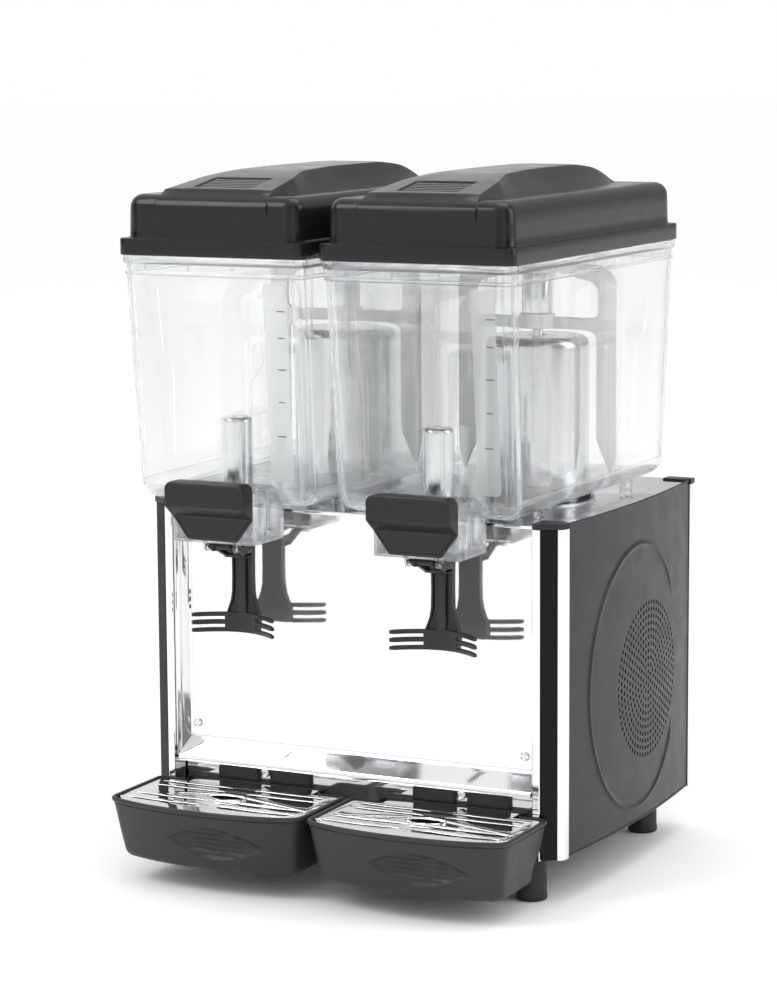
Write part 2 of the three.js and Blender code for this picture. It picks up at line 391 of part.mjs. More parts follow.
function grid() {
  const H = TRAY_HALF - 4.6, s = new THREE.Shape();
  s.moveTo(-64, 11.6); s.lineTo(-64, -5.4); s.lineTo(-H, -5.4); s.lineTo(-H, -82);
  s.lineTo(-H + 6, -90);
  for (let i = 0; i <= 8; i++) { const x = mix(-H + 8, H - 8, i / 8); s.lineTo(x, TRAY_FRONT + 5 + 12.5 * (x / (H - 8)) ** 2); }
  s.lineTo(H - 6, -90); s.lineTo(H, -82); s.lineTo(H, -5.4); s.lineTo(64, -5.4); s.lineTo(64, 11.6);
  const holes = [];
  const slot = (x0, x1, y) => {
    const w = 2.2, m = (x0 + x1) / 2;
    const b = (x) => y - 4 * (1 - ((x - m) / ((x1 - x0) / 2)) ** 2) * (y < -60 ? 1 : 0.4);
    const up = [], dn = [];
    for (let i = 0; i <= 4; i++) { const x = mix(x0, x1, i / 4); up.push([x, b(x) + w * (i % 4 ? 1 : 0.35)]); dn.push([x, b(x) - w * (i % 4 ? 1 : 0.35)]); }
    holes.push([...up, ...dn.reverse()]);
  };
  for (const y of [-16, -32, -62, -78]) { slot(-84, -12, y); slot(12, 84, y); }
  const oval = [];
  for (let i = 0; i < 14; i++) { const a = i / 14 * Math.PI * 2; oval.push([16 * Math.cos(a), -47 + 7 * Math.sin(a)]); }
  holes.push(oval);
  return cut(prismZ(s, TRAY_Z1 - 2.9, TRAY_Z1 - 1.1), ...holes.map((h) => prismZ(h, TRAY_Z1 - 12, TRAY_Z1 + 3)));
}

for (const [side, grp] of [['left', left], ['right', right]]) {
  const motor = turned([[0, 246], [28, 246], [31, 249], [31, 322], [37, 324], [37, 332.8], [12, 333.2], [0, 333.2]], 0, AXIS_Y, 16);
  put(grp, `stir_motor_${side}`, motor, 0x55585c, 0.45, 0.9);
  put(grp, `drive_shaft_${side}`, turned([[0, SHAFT_Z0], [SHAFT_R, SHAFT_Z0], [SHAFT_R, SHAFT_Z1 - 3], [SHAFT_R - 2, SHAFT_Z1], [0, SHAFT_Z1]], 0, AXIS_Y, 12), ...STEEL);
  put(grp, `cooling_drum_${side}`, turned([[DRUM_R, DRUM_Z0], [DRUM_R, DRUM_Z1 - 9], [DRUM_R - 2.6, DRUM_Z1 - 2.6], [DRUM_R - 9, DRUM_Z1], [9, DRUM_Z1], [9, DRUM_Z1 - 2.4], [DRUM_R - 9, DRUM_Z1 - 2.4], [DRUM_R - 2.4, DRUM_Z1 - 10], [DRUM_R - 2.4, DRUM_Z0], [DRUM_R, DRUM_Z0]], 0, AXIS_Y, 24), ...STEEL);
  put(grp, `bowl_seal_${side}`, turned([[DRUM_R + 0.4, 337.4], [50.2, 337.4], [50.2, 343.4], [DRUM_R + 0.4, 344.4], [DRUM_R + 0.4, 337.4]], 0, AXIS_Y, 24), ...RUBBER);
  put(grp, `bowl_${side}`, bowl(), ...CLEAR);
  put(grp, `lid_${side}`, lid(), ...BLACK);
  put(grp, `stirrer_${side}`, stirrerFrame(), ...WHITE);
  put(grp, `stirrer_tube_${side}`, turned([[0, TUBE_Z1], [TUBE_R - 1, TUBE_Z1], [TUBE_R, TUBE_Z1 - 1], [TUBE_R, TUBE_Z0], [SHAFT_R + 0.6, TUBE_Z0], [SHAFT_R + 0.6, TUBE_Z1 - 12], [0, TUBE_Z1 - 12]], 0, AXIS_Y, 16), ...STEEL);
  put(grp, `tap_cover_${side}`, tapCover(), ...BLACK);
  put(grp, `tap_lever_${side}`, lever(), ...BLACK);
  put(grp, `tap_plunger_${side}`, plunger(), ...STEEL);
  put(grp, `drip_tray_${side}`, tray(), ...GREY);
  put(grp, `drip_grid_${side}`, grid(), ...STEEL);
}

export default dispenser;
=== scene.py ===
import math
import bpy
import bmesh
from mathutils import Vector, Matrix


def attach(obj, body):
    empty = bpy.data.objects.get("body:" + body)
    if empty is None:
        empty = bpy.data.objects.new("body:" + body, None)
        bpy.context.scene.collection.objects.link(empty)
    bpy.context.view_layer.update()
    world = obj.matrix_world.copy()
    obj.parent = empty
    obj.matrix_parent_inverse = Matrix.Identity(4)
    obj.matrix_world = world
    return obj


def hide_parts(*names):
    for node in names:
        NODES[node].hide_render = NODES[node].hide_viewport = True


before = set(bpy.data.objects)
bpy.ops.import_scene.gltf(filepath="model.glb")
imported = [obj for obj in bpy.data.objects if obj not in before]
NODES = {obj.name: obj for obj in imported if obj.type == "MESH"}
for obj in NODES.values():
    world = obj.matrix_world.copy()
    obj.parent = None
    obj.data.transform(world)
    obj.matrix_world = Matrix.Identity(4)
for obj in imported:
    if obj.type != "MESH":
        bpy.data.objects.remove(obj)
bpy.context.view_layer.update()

YS = -107.0                    # front faces of the corner posts, in the row frame, mm
AXIS_Y = 195.0                 # drum and stirrer axis behind the posts' front faces
UNITS = (("left", -100.0), ("right", 100.0))
pi = math.pi


# ------------------------------------------------------------------ materials
def _input(node, name, value):
    if name in node.inputs:
        node.inputs[name].default_value = value


def material(name, color, rough, metal=0.0, vary=0.15, rvary=0.08, scale=60.0, bump=0.05, bscale=600.0,
             stretch=(1, 1, 1), wear=0.0, wear_color=(0.3, 0.3, 0.3), bdist=0.0004, **extra):
    m = bpy.data.materials.new(name)
    m.use_nodes = True
    nt = m.node_tree
    nt.nodes.clear()
    out = nt.nodes.new("ShaderNodeOutputMaterial")
    bs = nt.nodes.new("ShaderNodeBsdfPrincipled")
    nt.links.new(bs.outputs[0], out.inputs[0])
    tc = nt.nodes.new("ShaderNodeTexCoord")
    mp = nt.nodes.new("ShaderNodeMapping")
    mp.inputs["Scale"].default_value = stretch
    nt.links.new(tc.outputs["Object"], mp.inputs[0])
    n1 = nt.nodes.new("ShaderNodeTexNoise")
    n1.inputs["Scale"].default_value = scale
    n1.inputs["Detail"].default_value = 5
    n2 = nt.nodes.new("ShaderNodeTexNoise")
    n2.inputs["Scale"].default_value = bscale
    n2.inputs["Detail"].default_value = 3
    n3 = nt.nodes.new("ShaderNodeTexNoise")
    n3.inputs["Scale"].default_value = scale * 0.13
    n3.inputs["Detail"].default_value = 3
    for n in (n1, n2, n3):
        nt.links.new(mp.outputs[0], n.inputs["Vector"])
    # colour: slow drift and fine mottling
    r = nt.nodes.new("ShaderNodeMapRange")
    r.inputs["To Min"].default_value = 1 - vary
    r.inputs["To Max"].default_value = 1 + vary
    nt.links.new(n3.outputs["Fac"], r.inputs["Value"])
    mixc = nt.nodes.new("ShaderNodeMix")
    mixc.data_type = "RGBA"
    mixc.blend_type = "MULTIPLY"
    mixc.inputs[0].default_value = 1.0
    mixc.inputs[6].default_value = (*color, 1)
    nt.links.new(r.outputs[0], mixc.inputs[7])
    col = mixc.outputs[2]
    if wear:
        ge = nt.nodes.new("ShaderNodeNewGeometry")
        cr = nt.nodes.new("ShaderNodeMapRange")
        cr.inputs["From Min"].default_value = 0.53
        cr.inputs["From Max"].default_value = 0.62
        nt.links.new(ge.outputs["Pointiness"], cr.inputs["Value"])
        mu = nt.nodes.new("ShaderNodeMath")
        mu.operation = "MULTIPLY"
        nt.links.new(cr.outputs[0], mu.inputs[0])
        m2 = nt.nodes.new("ShaderNodeMath")
        m2.operation = "MULTIPLY"
        m2.inputs[1].default_value = wear * 1.6
        nt.links.new(n1.outputs["Fac"], m2.inputs[0])
        nt.links.new(m2.outputs[0], mu.inputs[1])
        mw = nt.nodes.new("ShaderNodeMix")
        mw.data_type = "RGBA"
        nt.links.new(mu.outputs[0], mw.inputs[0])
        nt.links.new(col, mw.inputs[6])
        mw.inputs[7].default_value = (*wear_color, 1)
        col = mw.outputs[2]
    nt.links.new(col, bs.inputs["Base Color"])
    rr_ = nt.nodes.new("ShaderNodeMapRange")
    rr_.inputs["From Min"].default_value = 0.3
    rr_.inputs["From Max"].default_value = 0.7
    rr_.inputs["To Min"].default_value = max(0.0, rough - rvary)
    rr_.inputs["To Max"].default_value = min(1.0, rough + rvary)
    nt.links.new(n1.outputs["Fac"], rr_.inputs["Value"])
    nt.links.new(rr_.outputs[0], bs.inputs["Roughness"])
    bs.inputs["Metallic"].default_value = metal
    if bump:
        b = nt.nodes.new("ShaderNodeBump")
        b.inputs["Strength"].default_value = bump
        b.inputs["Distance"].default_value = bdist
        nt.links.new(n2.outputs["Fac"], b.inputs["Height"])
        nt.links.new(b.outputs[0], bs.inputs["Normal"])
    for k, v in extra.items():
        _input(bs, k.replace("_", " "), v)
    return m


M = {}
M["mirror_steel"] = material("mirror_steel", (0.80, 0.81, 0.82), 0.045, 1.0, vary=0.02, rvary=0.03, scale=35, bump=0.03, bscale=900)
M["panel_steel"] = material("panel_steel", (0.82, 0.825, 0.83), 0.05, 0.87, vary=0.02, rvary=0.03, scale=35, bump=0.03, bscale=900)
M["satin_steel"] = material("satin_steel", (0.72, 0.73, 0.74), 0.12, 1.0, vary=0.05, rvary=0.05, scale=240, bump=0.08, bscale=1500, stretch=(1, 1, 0.06))
M["black_gloss"] = material("black_gloss", (0.010, 0.010, 0.0108), 0.20, 0.0, vary=0.12, rvary=0.05, scale=45, bump=0.04, bscale=1400, wear=0.2, wear_color=(0.05, 0.05, 0.053), IOR=1.5, Specular_IOR_Level=0.34)
M["black_satin"] = material("black_satin", (0.010, 0.010, 0.011), 0.33, 0.0, vary=0.15, rvary=0.07, scale=70, bump=0.10, bscale=1700, wear=0.3, wear_color=(0.06, 0.06, 0.063), IOR=1.5, Specular_IOR_Level=0.38)
M["insert_black"] = material("insert_black", (0.003, 0.003, 0.0034), 0.30, 0.0, vary=0.2, rvary=0.06, scale=50, bump=0.05, bscale=1500, IOR=1.5, Specular_IOR_Level=0.16)
M["mark_grey"] = material("mark_grey", (0.05, 0.05, 0.052), 0.5, 0.0, vary=0.1, bump=0.05)
M["tray_black"] = material("tray_black", (0.026, 0.026, 0.028), 0.40, 0.0, vary=0.15, rvary=0.06, scale=60, bump=0.12, bscale=1900, wear=0.3, wear_color=(0.09, 0.09, 0.093), IOR=1.5, Specular_IOR_Level=0.36)
M["panel_black"] = material("panel_black", (0.016, 0.016, 0.0175), 0.36, 0.0, vary=0.1, rvary=0.05, scale=50, bump=0.14, bscale=1600, wear=0.2, wear_color=(0.07, 0.07, 0.07), IOR=1.5, Specular_IOR_Level=0.28)
M["rubber_black"] = material("rubber_black", (0.012, 0.012, 0.012), 0.55, 0.0, vary=0.2, rvary=0.1, scale=90, bump=0.2, bscale=900)
M["clear_plastic"] = material("clear_plastic", (0.97, 0.98, 0.985), 0.012, 0.0, vary=0.01, rvary=0.012, scale=30, bump=0.0, bscale=45, Transmission_Weight=1.0, IOR=1.47)
M["white_plastic"] = material("white_plastic", (0.90, 0.905, 0.90), 0.36, 0.0, vary=0.03, rvary=0.06, scale=60, bump=0.06, bscale=700, IOR=1.45)
M["motor_metal"] = material("motor_metal", (0.20, 0.21, 0.22), 0.4, 0.6, vary=0.15, scale=60, bump=0.1)
M["black_enamel"] = material("black_enamel", (0.02, 0.02, 0.022), 0.28, 0.0, vary=0.2, scale=40, bump=0.08, bscale=300)
M["fin_metal"] = material("fin_metal", (0.6, 0.61, 0.62), 0.35, 1.0, vary=0.1, scale=200, bump=0.1)


def see_through(name, share, tint):
    """Mix a plain see-through share into a moulded clear plastic."""
    nt = M[name].node_tree
    out = [n for n in nt.nodes if n.type == "OUTPUT_MATERIAL"][0]
    bs = [n for n in nt.nodes if n.type == "BSDF_PRINCIPLED"][0]
    tr = nt.nodes.new("ShaderNodeBsdfTransparent")
    tr.inputs[0].default_value = (*tint, 1)
    mx = nt.nodes.new("ShaderNodeMixShader")
    mx.inputs[0].default_value = share
    nt.links.new(bs.outputs[0], mx.inputs[1])
    nt.links.new(tr.outputs[0], mx.inputs[2])
    nt.links.new(mx.outputs[0], out.inputs[0])


see_through("clear_plastic", 0.80, (0.995, 0.997, 0.997))
M["clear_edge"] = material("clear_edge", (0.96, 0.97, 0.975), 0.02, 0.0, vary=0.01, rvary=0.01, scale=30, bump=0.0, Transmission_Weight=1.0, IOR=1.49)
see_through("clear_edge", 0.34, (0.96, 0.965, 0.97))
M["frost_plastic"] = material("frost_plastic", (0.93, 0.94, 0.945), 0.5, 0.0, vary=0.02, rvary=0.05, scale=60, bump=0.05, bscale=900, Transmission_Weight=0.75, IOR=1.3)
see_through("frost_plastic", 0.5, (0.93, 0.935, 0.935))
M["dark_gap"] = material("dark_gap", (0.008, 0.008, 0.008), 0.7, 0.0, vary=0.2, bump=0.1)


# ------------------------------------------------------------------ mesh helpers
def mm(v):
    return (v[0] / 1000.0, (v[1] + YS) / 1000.0, v[2] / 1000.0)


def smooth_by_angle(bm, angle):
    a = math.radians(angle)
    for f in bm.faces:
        f.smooth = True
    for e in bm.edges:
        if len(e.link_faces) == 2:
            e.smooth = e.calc_face_angle(0.0) < a
        else:
            e.smooth = False


def finish(bm, name, mat, body, nodes=(), angle=32, weighted=False, bevel=0.0, seg=2, bevel_angle=30):
    """bm is in millimetres, part coordinates."""
    bmesh.ops.remove_doubles(bm, verts=bm.verts, dist=0.004)
    bmesh.ops.recalc_face_normals(bm, faces=bm.faces)
    if bevel:
        es = [e for e in bm.edges if len(e.link_faces) == 2 and e.calc_face_angle(0.0) > math.radians(bevel_angle)]
        bmesh.ops.bevel(bm, geom=es, offset=bevel, offset_type="OFFSET", segments=seg, profile=0.5, affect="EDGES", clamp_overlap=True)
        bmesh.ops.remove_doubles(bm, verts=bm.verts, dist=0.002)
    smooth_by_angle(bm, angle)
    for v in bm.verts:
        v.co = Vector(mm(v.co))
    me = bpy.data.meshes.new(name)
    bm.to_mesh(me)
    bm.free()
    ob = bpy.data.objects.new(name, me)
    bpy.context.scene.collection.objects.link(ob)
    me.materials.append(M[mat])
    if weighted:
        w = ob.modifiers.new("wn", "WEIGHTED_NORMAL")
        w.keep_sharp = True
        w.weight = 90
    if body:
        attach(ob, body)
        if nodes:
            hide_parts(*nodes)
    return ob


def add_loft(bm, rings, cap0=True, cap1=True, closed=True):
    vr = [[bm.verts.new(p) for p in r] for r in rings]
    n = len(vr[0])
    for a, b in zip(vr[:-1], vr[1:]):
        for i in range(n if closed else n - 1):
            j = (i + 1) % n
            try:
                bm.faces.new((a[i], a[j], b[j], b[i]))
            except ValueError:
                pass
    if cap0:
        bm.faces.new(list(reversed(vr[0])))
    if cap1:
        bm.faces.new(vr[-1])
    return vr


def add_loft_loop(bm, rings):
    """rings joined end to end: a closed tube of rings."""
    vr = [[bm.verts.new(p) for p in r] for r in rings]
    n = len(vr[0])
    for k in range(len(vr)):
        a, b = vr[k], vr[(k + 1) % len(vr)]
        for i in range(n):
            j = (i + 1) % n
            bm.faces.new((a[i], a[j], b[j], b[i]))
    return vr


def add_lathe(bm, prof, cx, cy, n=64, closed_profile=False):
    """prof: (radius, z). Open profiles start and end on the axis."""
    rings = []
    for r, z in prof:
        if r < 1e-6:
            rings.append([bm.verts.new((cx, cy, z))])
        else:
            rings.append([bm.verts.new((cx + r * math.cos(2 * pi * i / n), cy + r * math.sin(2 * pi * i / n), z)) for i in range(n)])
    pairs = list(zip(rings[:-1], rings[1:]))
    if closed_profile:
        pairs.append((rings[-1], rings[0]))
    for a, b in pairs:
        for i in range(n):
            j = (i + 1) % n
            if len(a) == 1 and len(b) == 1:
                continue
            if len(a) == 1:
                bm.faces.new((a[0], b[j], b[i]))
            elif len(b) == 1:
                bm.faces.new((a[i], a[j], b[0]))
            else:
                bm.faces.new((a[i], a[j], b[j], b[i]))


def arc_prof(r, z, rad, a0, a1, n):
    return [(r + rad * math.cos(math.radians(a0 + (a1 - a0) * i / n)), z + rad * math.sin(math.radians(a0 + (a1 - a0) * i / n))) for i in range(n + 1)]


def lathe(name, prof, cx, cy, mat, body, nodes=(), n=64, angle=32, closed_profile=False, axis="Z"):
    bm = bmesh.new()
    add_lathe(bm, prof, 0, 0, n, closed_profile)
    if axis == "Y":      # profile heights run along +y; (cx, cy) is (x, z)
        for v in bm.verts:
            x, y, z = v.co
            v.co = (cx + x, z, cy + y)
    elif axis == "X":    # profile heights run along +x; (cx, cy) is (y, z)
        for v in bm.verts:
            x, y, z = v.co
            v.co = (z, cx + x, cy + y)
    else:
        for v in bm.verts:
            v.co.x += cx
            v.co.y += cy
    return finish(bm, name, mat, body, nodes, angle)


def fillet(pts, rad, n=5):
    """Round the corners of a closed outline. rad is one number or one per corner."""
    out = []
    N = len(pts)
    for i in range(N):
        p0, p, p1 = Vector(pts[i - 1][:2]), Vector(pts[i][:2]), Vector(pts[(i + 1) % N][:2])
        r = rad[i] if isinstance(rad, (list, tuple)) else rad
        a, b = (p0 - p), (p1 - p)
        la, lb = a.length, b.length
        if r <= 0 or la < 1e-6 or lb < 1e-6:
            out.append((p.x, p.y))
            continue
        a.normalize()
        b.normalize()
        th = a.angle(b)
        if th > pi - 0.02:
            out.append((p.x, p.y))
            continue
        t = min(r / math.tan(th / 2), 0.48 * la, 0.48 * lb)
        r2 = t * math.tan(th / 2)
        c = p + (a + b).normalized() * (r2 / math.sin(th / 2))
        s, e = p + a * t, p + b * t
        a0 = math.atan2(s.y - c.y, s.x - c.x)
        a1 = math.atan2(e.y - c.y, e.x - c.x)
        d = (a1 - a0 + pi) % (2 * pi) - pi
        for k in range(n + 1):
            w = a0 + d * k / n
            out.append((c.x + r2 * math.cos(w), c.y + r2 * math.sin(w)))
    return out


def add_plate(bm, outer, holes, thick, edge=0.4, res=2, to=lambda u, v, w: (u, v, w)):
    """Flat plate with holes and rounded edges. (u, v) in the plane, w runs 0..thick."""
    cu = bpy.data.curves.new("tmp_plate", "CURVE")
    cu.dimensions = "2D"
    cu.fill_mode = "BOTH"
    cu.extrude = max(thick / 2 - edge, 0.0)
    cu.bevel_depth = edge
    cu.bevel_resolution = res
    cu.offset = -edge
    for loop in [outer, *holes]:
        sp = cu.splines.new("POLY")
        sp.points.add(len(loop) - 1)
        for p, q in zip(sp.points, loop):
            p.co = (q[0], q[1], 0, 1)
        sp.use_cyclic_u = True
    ob = bpy.data.objects.new("tmp_plate", cu)
    bpy.context.scene.collection.objects.link(ob)
    dg = bpy.context.evaluated_depsgraph_get()
    me = bpy.data.meshes.new_from_object(ob.evaluated_get(dg))
    tmp = bmesh.new()
    tmp.from_mesh(me)
    bmesh.ops.remove_doubles(tmp, verts=tmp.verts, dist=0.002)
    idx = {}
    for v in tmp.verts:
        idx[v.index] = bm.verts.new(to(v.co.x, v.co.y, v.co.z + thick / 2))
    for f in tmp.faces:
        try:
            bm.faces.new([idx[v.index] for v in f.verts])
        except ValueError:
            pass
    tmp.free()
    bpy.data.objects.remove(ob)
    bpy.data.curves.remove(cu)
    bpy.data.meshes.remove(me)


def add_box(bm, x0, x1, y0, y1, z0, z1):
    vs = [bm.verts.new((x, y, z)) for z in (z0, z1) for x, y in ((x0, y0), (x1, y0), (x1, y1), (x0, y1))]
    for f in ((3, 2, 1, 0), (4, 5, 6, 7), (0, 1, 5, 4), (1, 2, 6, 5), (2, 3, 7, 6), (3, 0, 4, 7)):
        bm.faces.new([vs[i] for i in f])


def add_tube(bm, path, rad, n=8, closed=False):
    """Round bar along points, with flat ends."""
    P = [Vector(p) for p in path]
    rings = []
    up = Vector((0, 0, 1))
    for i, p in enumerate(P):
        a = P[i - 1] if (i or closed) else p
        b = P[(i + 1) % len(P)] if (i < len(P) - 1 or closed) else p
        t = (b - a).normalized()
        s = t.cross(up)
        if s.length < 0.2:
            s = t.cross(Vector((0, 1, 0)))
        s.normalize()
        u = s.cross(t).normalized()
        rings.append([tuple(p + (s * math.cos(2 * pi * k / n) + u * math.sin(2 * pi * k / n)) * rad) for k in range(n)])
    if closed:
        add_loft_loop(bm, rings)
    else:
        add_loft(bm, rings)


def refine(node, mat, body, bevel=0.5, seg=2, name=None, extra=None, angle=35, bevel_angle=30, limit=0.6):
    """A finished copy of a CAD node: welded, flat faces merged, edges rounded."""
    bm = bmesh.new()
    bm.from_mesh(NODES[node].data)
    for v in bm.verts:
        v.co = Vector((v.co.x * 1000, v.co.y * 1000 - YS, v.co.z * 1000))
    bmesh.ops.remove_doubles(bm, verts=bm.verts, dist=0.01)
    bmesh.ops.dissolve_limit(bm, angle_limit=math.radians(limit), verts=bm.verts, edges=bm.edges, delimit=set())
    if extra:
        extra(bm)
    return finish(bm, name or ("vis_" + node), mat, body, (node,), angle=angle, bevel=bevel, seg=seg, bevel_angle=bevel_angle, weighted=True)


def lerp(a, b, t):
    return a + (b - a) * t


def piecewise(x, xs, ys):
    if x <= xs[0]:
        return ys[0]
    for i in range(len(xs) - 1):
        if x <= xs[i + 1]:
            return lerp(ys[i], ys[i + 1], (x - xs[i]) / (xs[i + 1] - xs[i]))
    return ys[-1]


def sstep(t):
    t = max(0.0, min(1.0, t))
    return t * t * (3 - 2 * t)


# ------------------------------------------------------------------ camera, light, floor
def camera():
    cam = bpy.data.cameras.new("camera")
    cam.sensor_width = 36.0
    cam.lens = 112.41
    ob = bpy.data.objects.new("camera", cam)
    bpy.context.scene.collection.objects.link(ob)
    a, p, r = math.radians(26.48), math.radians(8.55), math.radians(-0.36)
    fwd = Vector((-math.sin(a) * math.cos(p), math.cos(a) * math.cos(p), -math.sin(p)))
    right = Vector((math.cos(a), math.sin(a), 0))
    up = right.cross(fwd)
    rx = right * math.cos(r) + up * math.sin(r)
    ux = -right * math.sin(r) + up * math.cos(r)
    m = Matrix(((rx.x, ux.x, -fwd.x, 1.25985), (rx.y, ux.y, -fwd.y, -2.5518), (rx.z, ux.z, -fwd.z, 0.76185), (0, 0, 0, 1)))
    ob.matrix_world = m
    cam.clip_end = 50
    bpy.context.scene.camera = ob


def area(name, loc, target, size, power, size_y=None):
    li = bpy.data.lights.new(name, "AREA")
    li.energy = power
    li.size = size
    if size_y:
        li.shape = "RECTANGLE"
        li.size_y = size_y
    ob = bpy.data.objects.new(name, li)
    bpy.context.scene.collection.objects.link(ob)
    ob.location = loc
    d = Vector(target) - Vector(loc)
    ob.rotation_euler = d.to_track_quat("-Z", "Y").to_euler()
    return ob


def studio():
    sc = bpy.context.scene
    sc.view_settings.view_transform = "Standard"
    sc.view_settings.look = "None"
    w = bpy.data.worlds.new("studio")
    sc.world = w
    w.use_nodes = True
    nt = w.node_tree
    nt.nodes.clear()
    out = nt.nodes.new("ShaderNodeOutputWorld")
    bg = nt.nodes.new("ShaderNodeBackground")
    bg.inputs[0].default_value = (1, 1, 1, 1)
    bg.inputs[1].default_value = 1.0
    # dark and grey cards round the set, seen only in polished surfaces
    tc = nt.nodes.new("ShaderNodeTexCoord")
    sp = nt.nodes.new("ShaderNodeSeparateXYZ")
    nt.links.new(tc.outputs["Generated"], sp.inputs[0])

    def m2(op, a, b=None, clamp=False):
        n = nt.nodes.new("ShaderNodeMath")
        n.operation = op
        n.use_clamp = clamp
        for i, v in enumerate((a, b)):
            if v is None:
                continue
            if isinstance(v, (int, float)):
                n.inputs[i].default_value = v
            else:
                nt.links.new(v, n.inputs[i])
        return n.outputs[0]

    th = m2("ARCTAN2", sp.outputs[0], m2("MULTIPLY", sp.outputs[1], -1.0))
    t = m2("ADD", m2("DIVIDE", th, 2 * pi), 0.5)
    ramp = nt.nodes.new("ShaderNodeValToRGB")
    ramp.color_ramp.interpolation = "EASE"
    bands = [(-180, -158, 0.45), (-158, -78, 0.85), (-78, -44, 0.07), (-44, -8, 1.0), (-8, 30, 0.62), (30, 56, 1.0), (56, 84, 0.14), (84, 120, 0.95), (120, 180, 0.5)]
    el = ramp.color_ramp.elements
    stops = []
    for a0, a1, v in bands:
        stops += [(max(a0 + 4, -180), v), (min(a1 - 4, 180), v)]
    for i, (a, v) in enumerate(stops):
        pos = (a + 180) / 360.0
        e = el[i] if i < 2 else el.new(pos)
        e.position = pos
        e.color = (v, v, v, 1)
    nt.links.new(t, ramp.inputs[0])
    hi = nt.nodes.new("ShaderNodeMapRange")
    hi.inputs["From Min"].default_value = 0.55
    hi.inputs["From Max"].default_value = 0.85
    nt.links.new(sp.outputs[2], hi.inputs["Value"])
    up = nt.nodes.new("ShaderNodeMix")
    up.data_type = "RGBA"
    nt.links.new(hi.outputs[0], up.inputs[0])
    nt.links.new(ramp.outputs[0], up.inputs[6])
    up.inputs[7].default_value = (1, 1, 1, 1)
    lp = nt.nodes.new("ShaderNodeLightPath")
    refl = m2("MULTIPLY", m2("GREATER_THAN", lp.outputs["Glossy Depth"], 0.5), m2("LESS_THAN", lp.outputs["Diffuse Depth"], 0.5))
    pick = nt.nodes.new("ShaderNodeMix")
    pick.data_type = "RGBA"
    nt.links.new(refl, pick.inputs[0])
    pick.inputs[6].default_value = (1, 1, 1, 1)
    nt.links.new(up.outputs[2], pick.inputs[7])
    nt.links.new(pick.outputs[2], bg.inputs[0])
    nt.links.new(bg.outputs[0], out.inputs[0])
    area("key", (-1.6, -1.6, 2.4), (0, 0, 0.3), 1.4, 26)
    area("top", (0.3, 0.3, 2.6), (0, 0, 0.3), 1.6, 16)
    area("side", (2.4, 0.6, 1.4), (0.1, 0, 0.3), 1.0, 12, 1.8)
    bm = bmesh.new()
    R, n = 30000.0, 64
    ring = [(R * math.cos(2 * pi * i / n), R * math.sin(2 * pi * i / n), 0.0) for i in range(n)]
    bm.faces.new([bm.verts.new(p) for p in ring])
    for v in bm.verts:
        v.co = v.co / 1000.0
    me = bpy.data.meshes.new("floor")
    bm.to_mesh(me)
    bm.free()
    fl = bpy.data.objects.new("floor", me)
    sc.collection.objects.link(fl)
    me.materials.append(material("floor_pale", (0.992, 0.992, 0.992), 0.95, 0.0, vary=0.002, rvary=0.04, scale=3, bump=0.0, Specular_IOR_Level=0.1))


# ------------------------------------------------------------------ cabinet
def bow(y, s=1, base=207.3):
    u = (y - 166.35) / 144.75
    return s * (base + 7.7 * (1 - u * u))


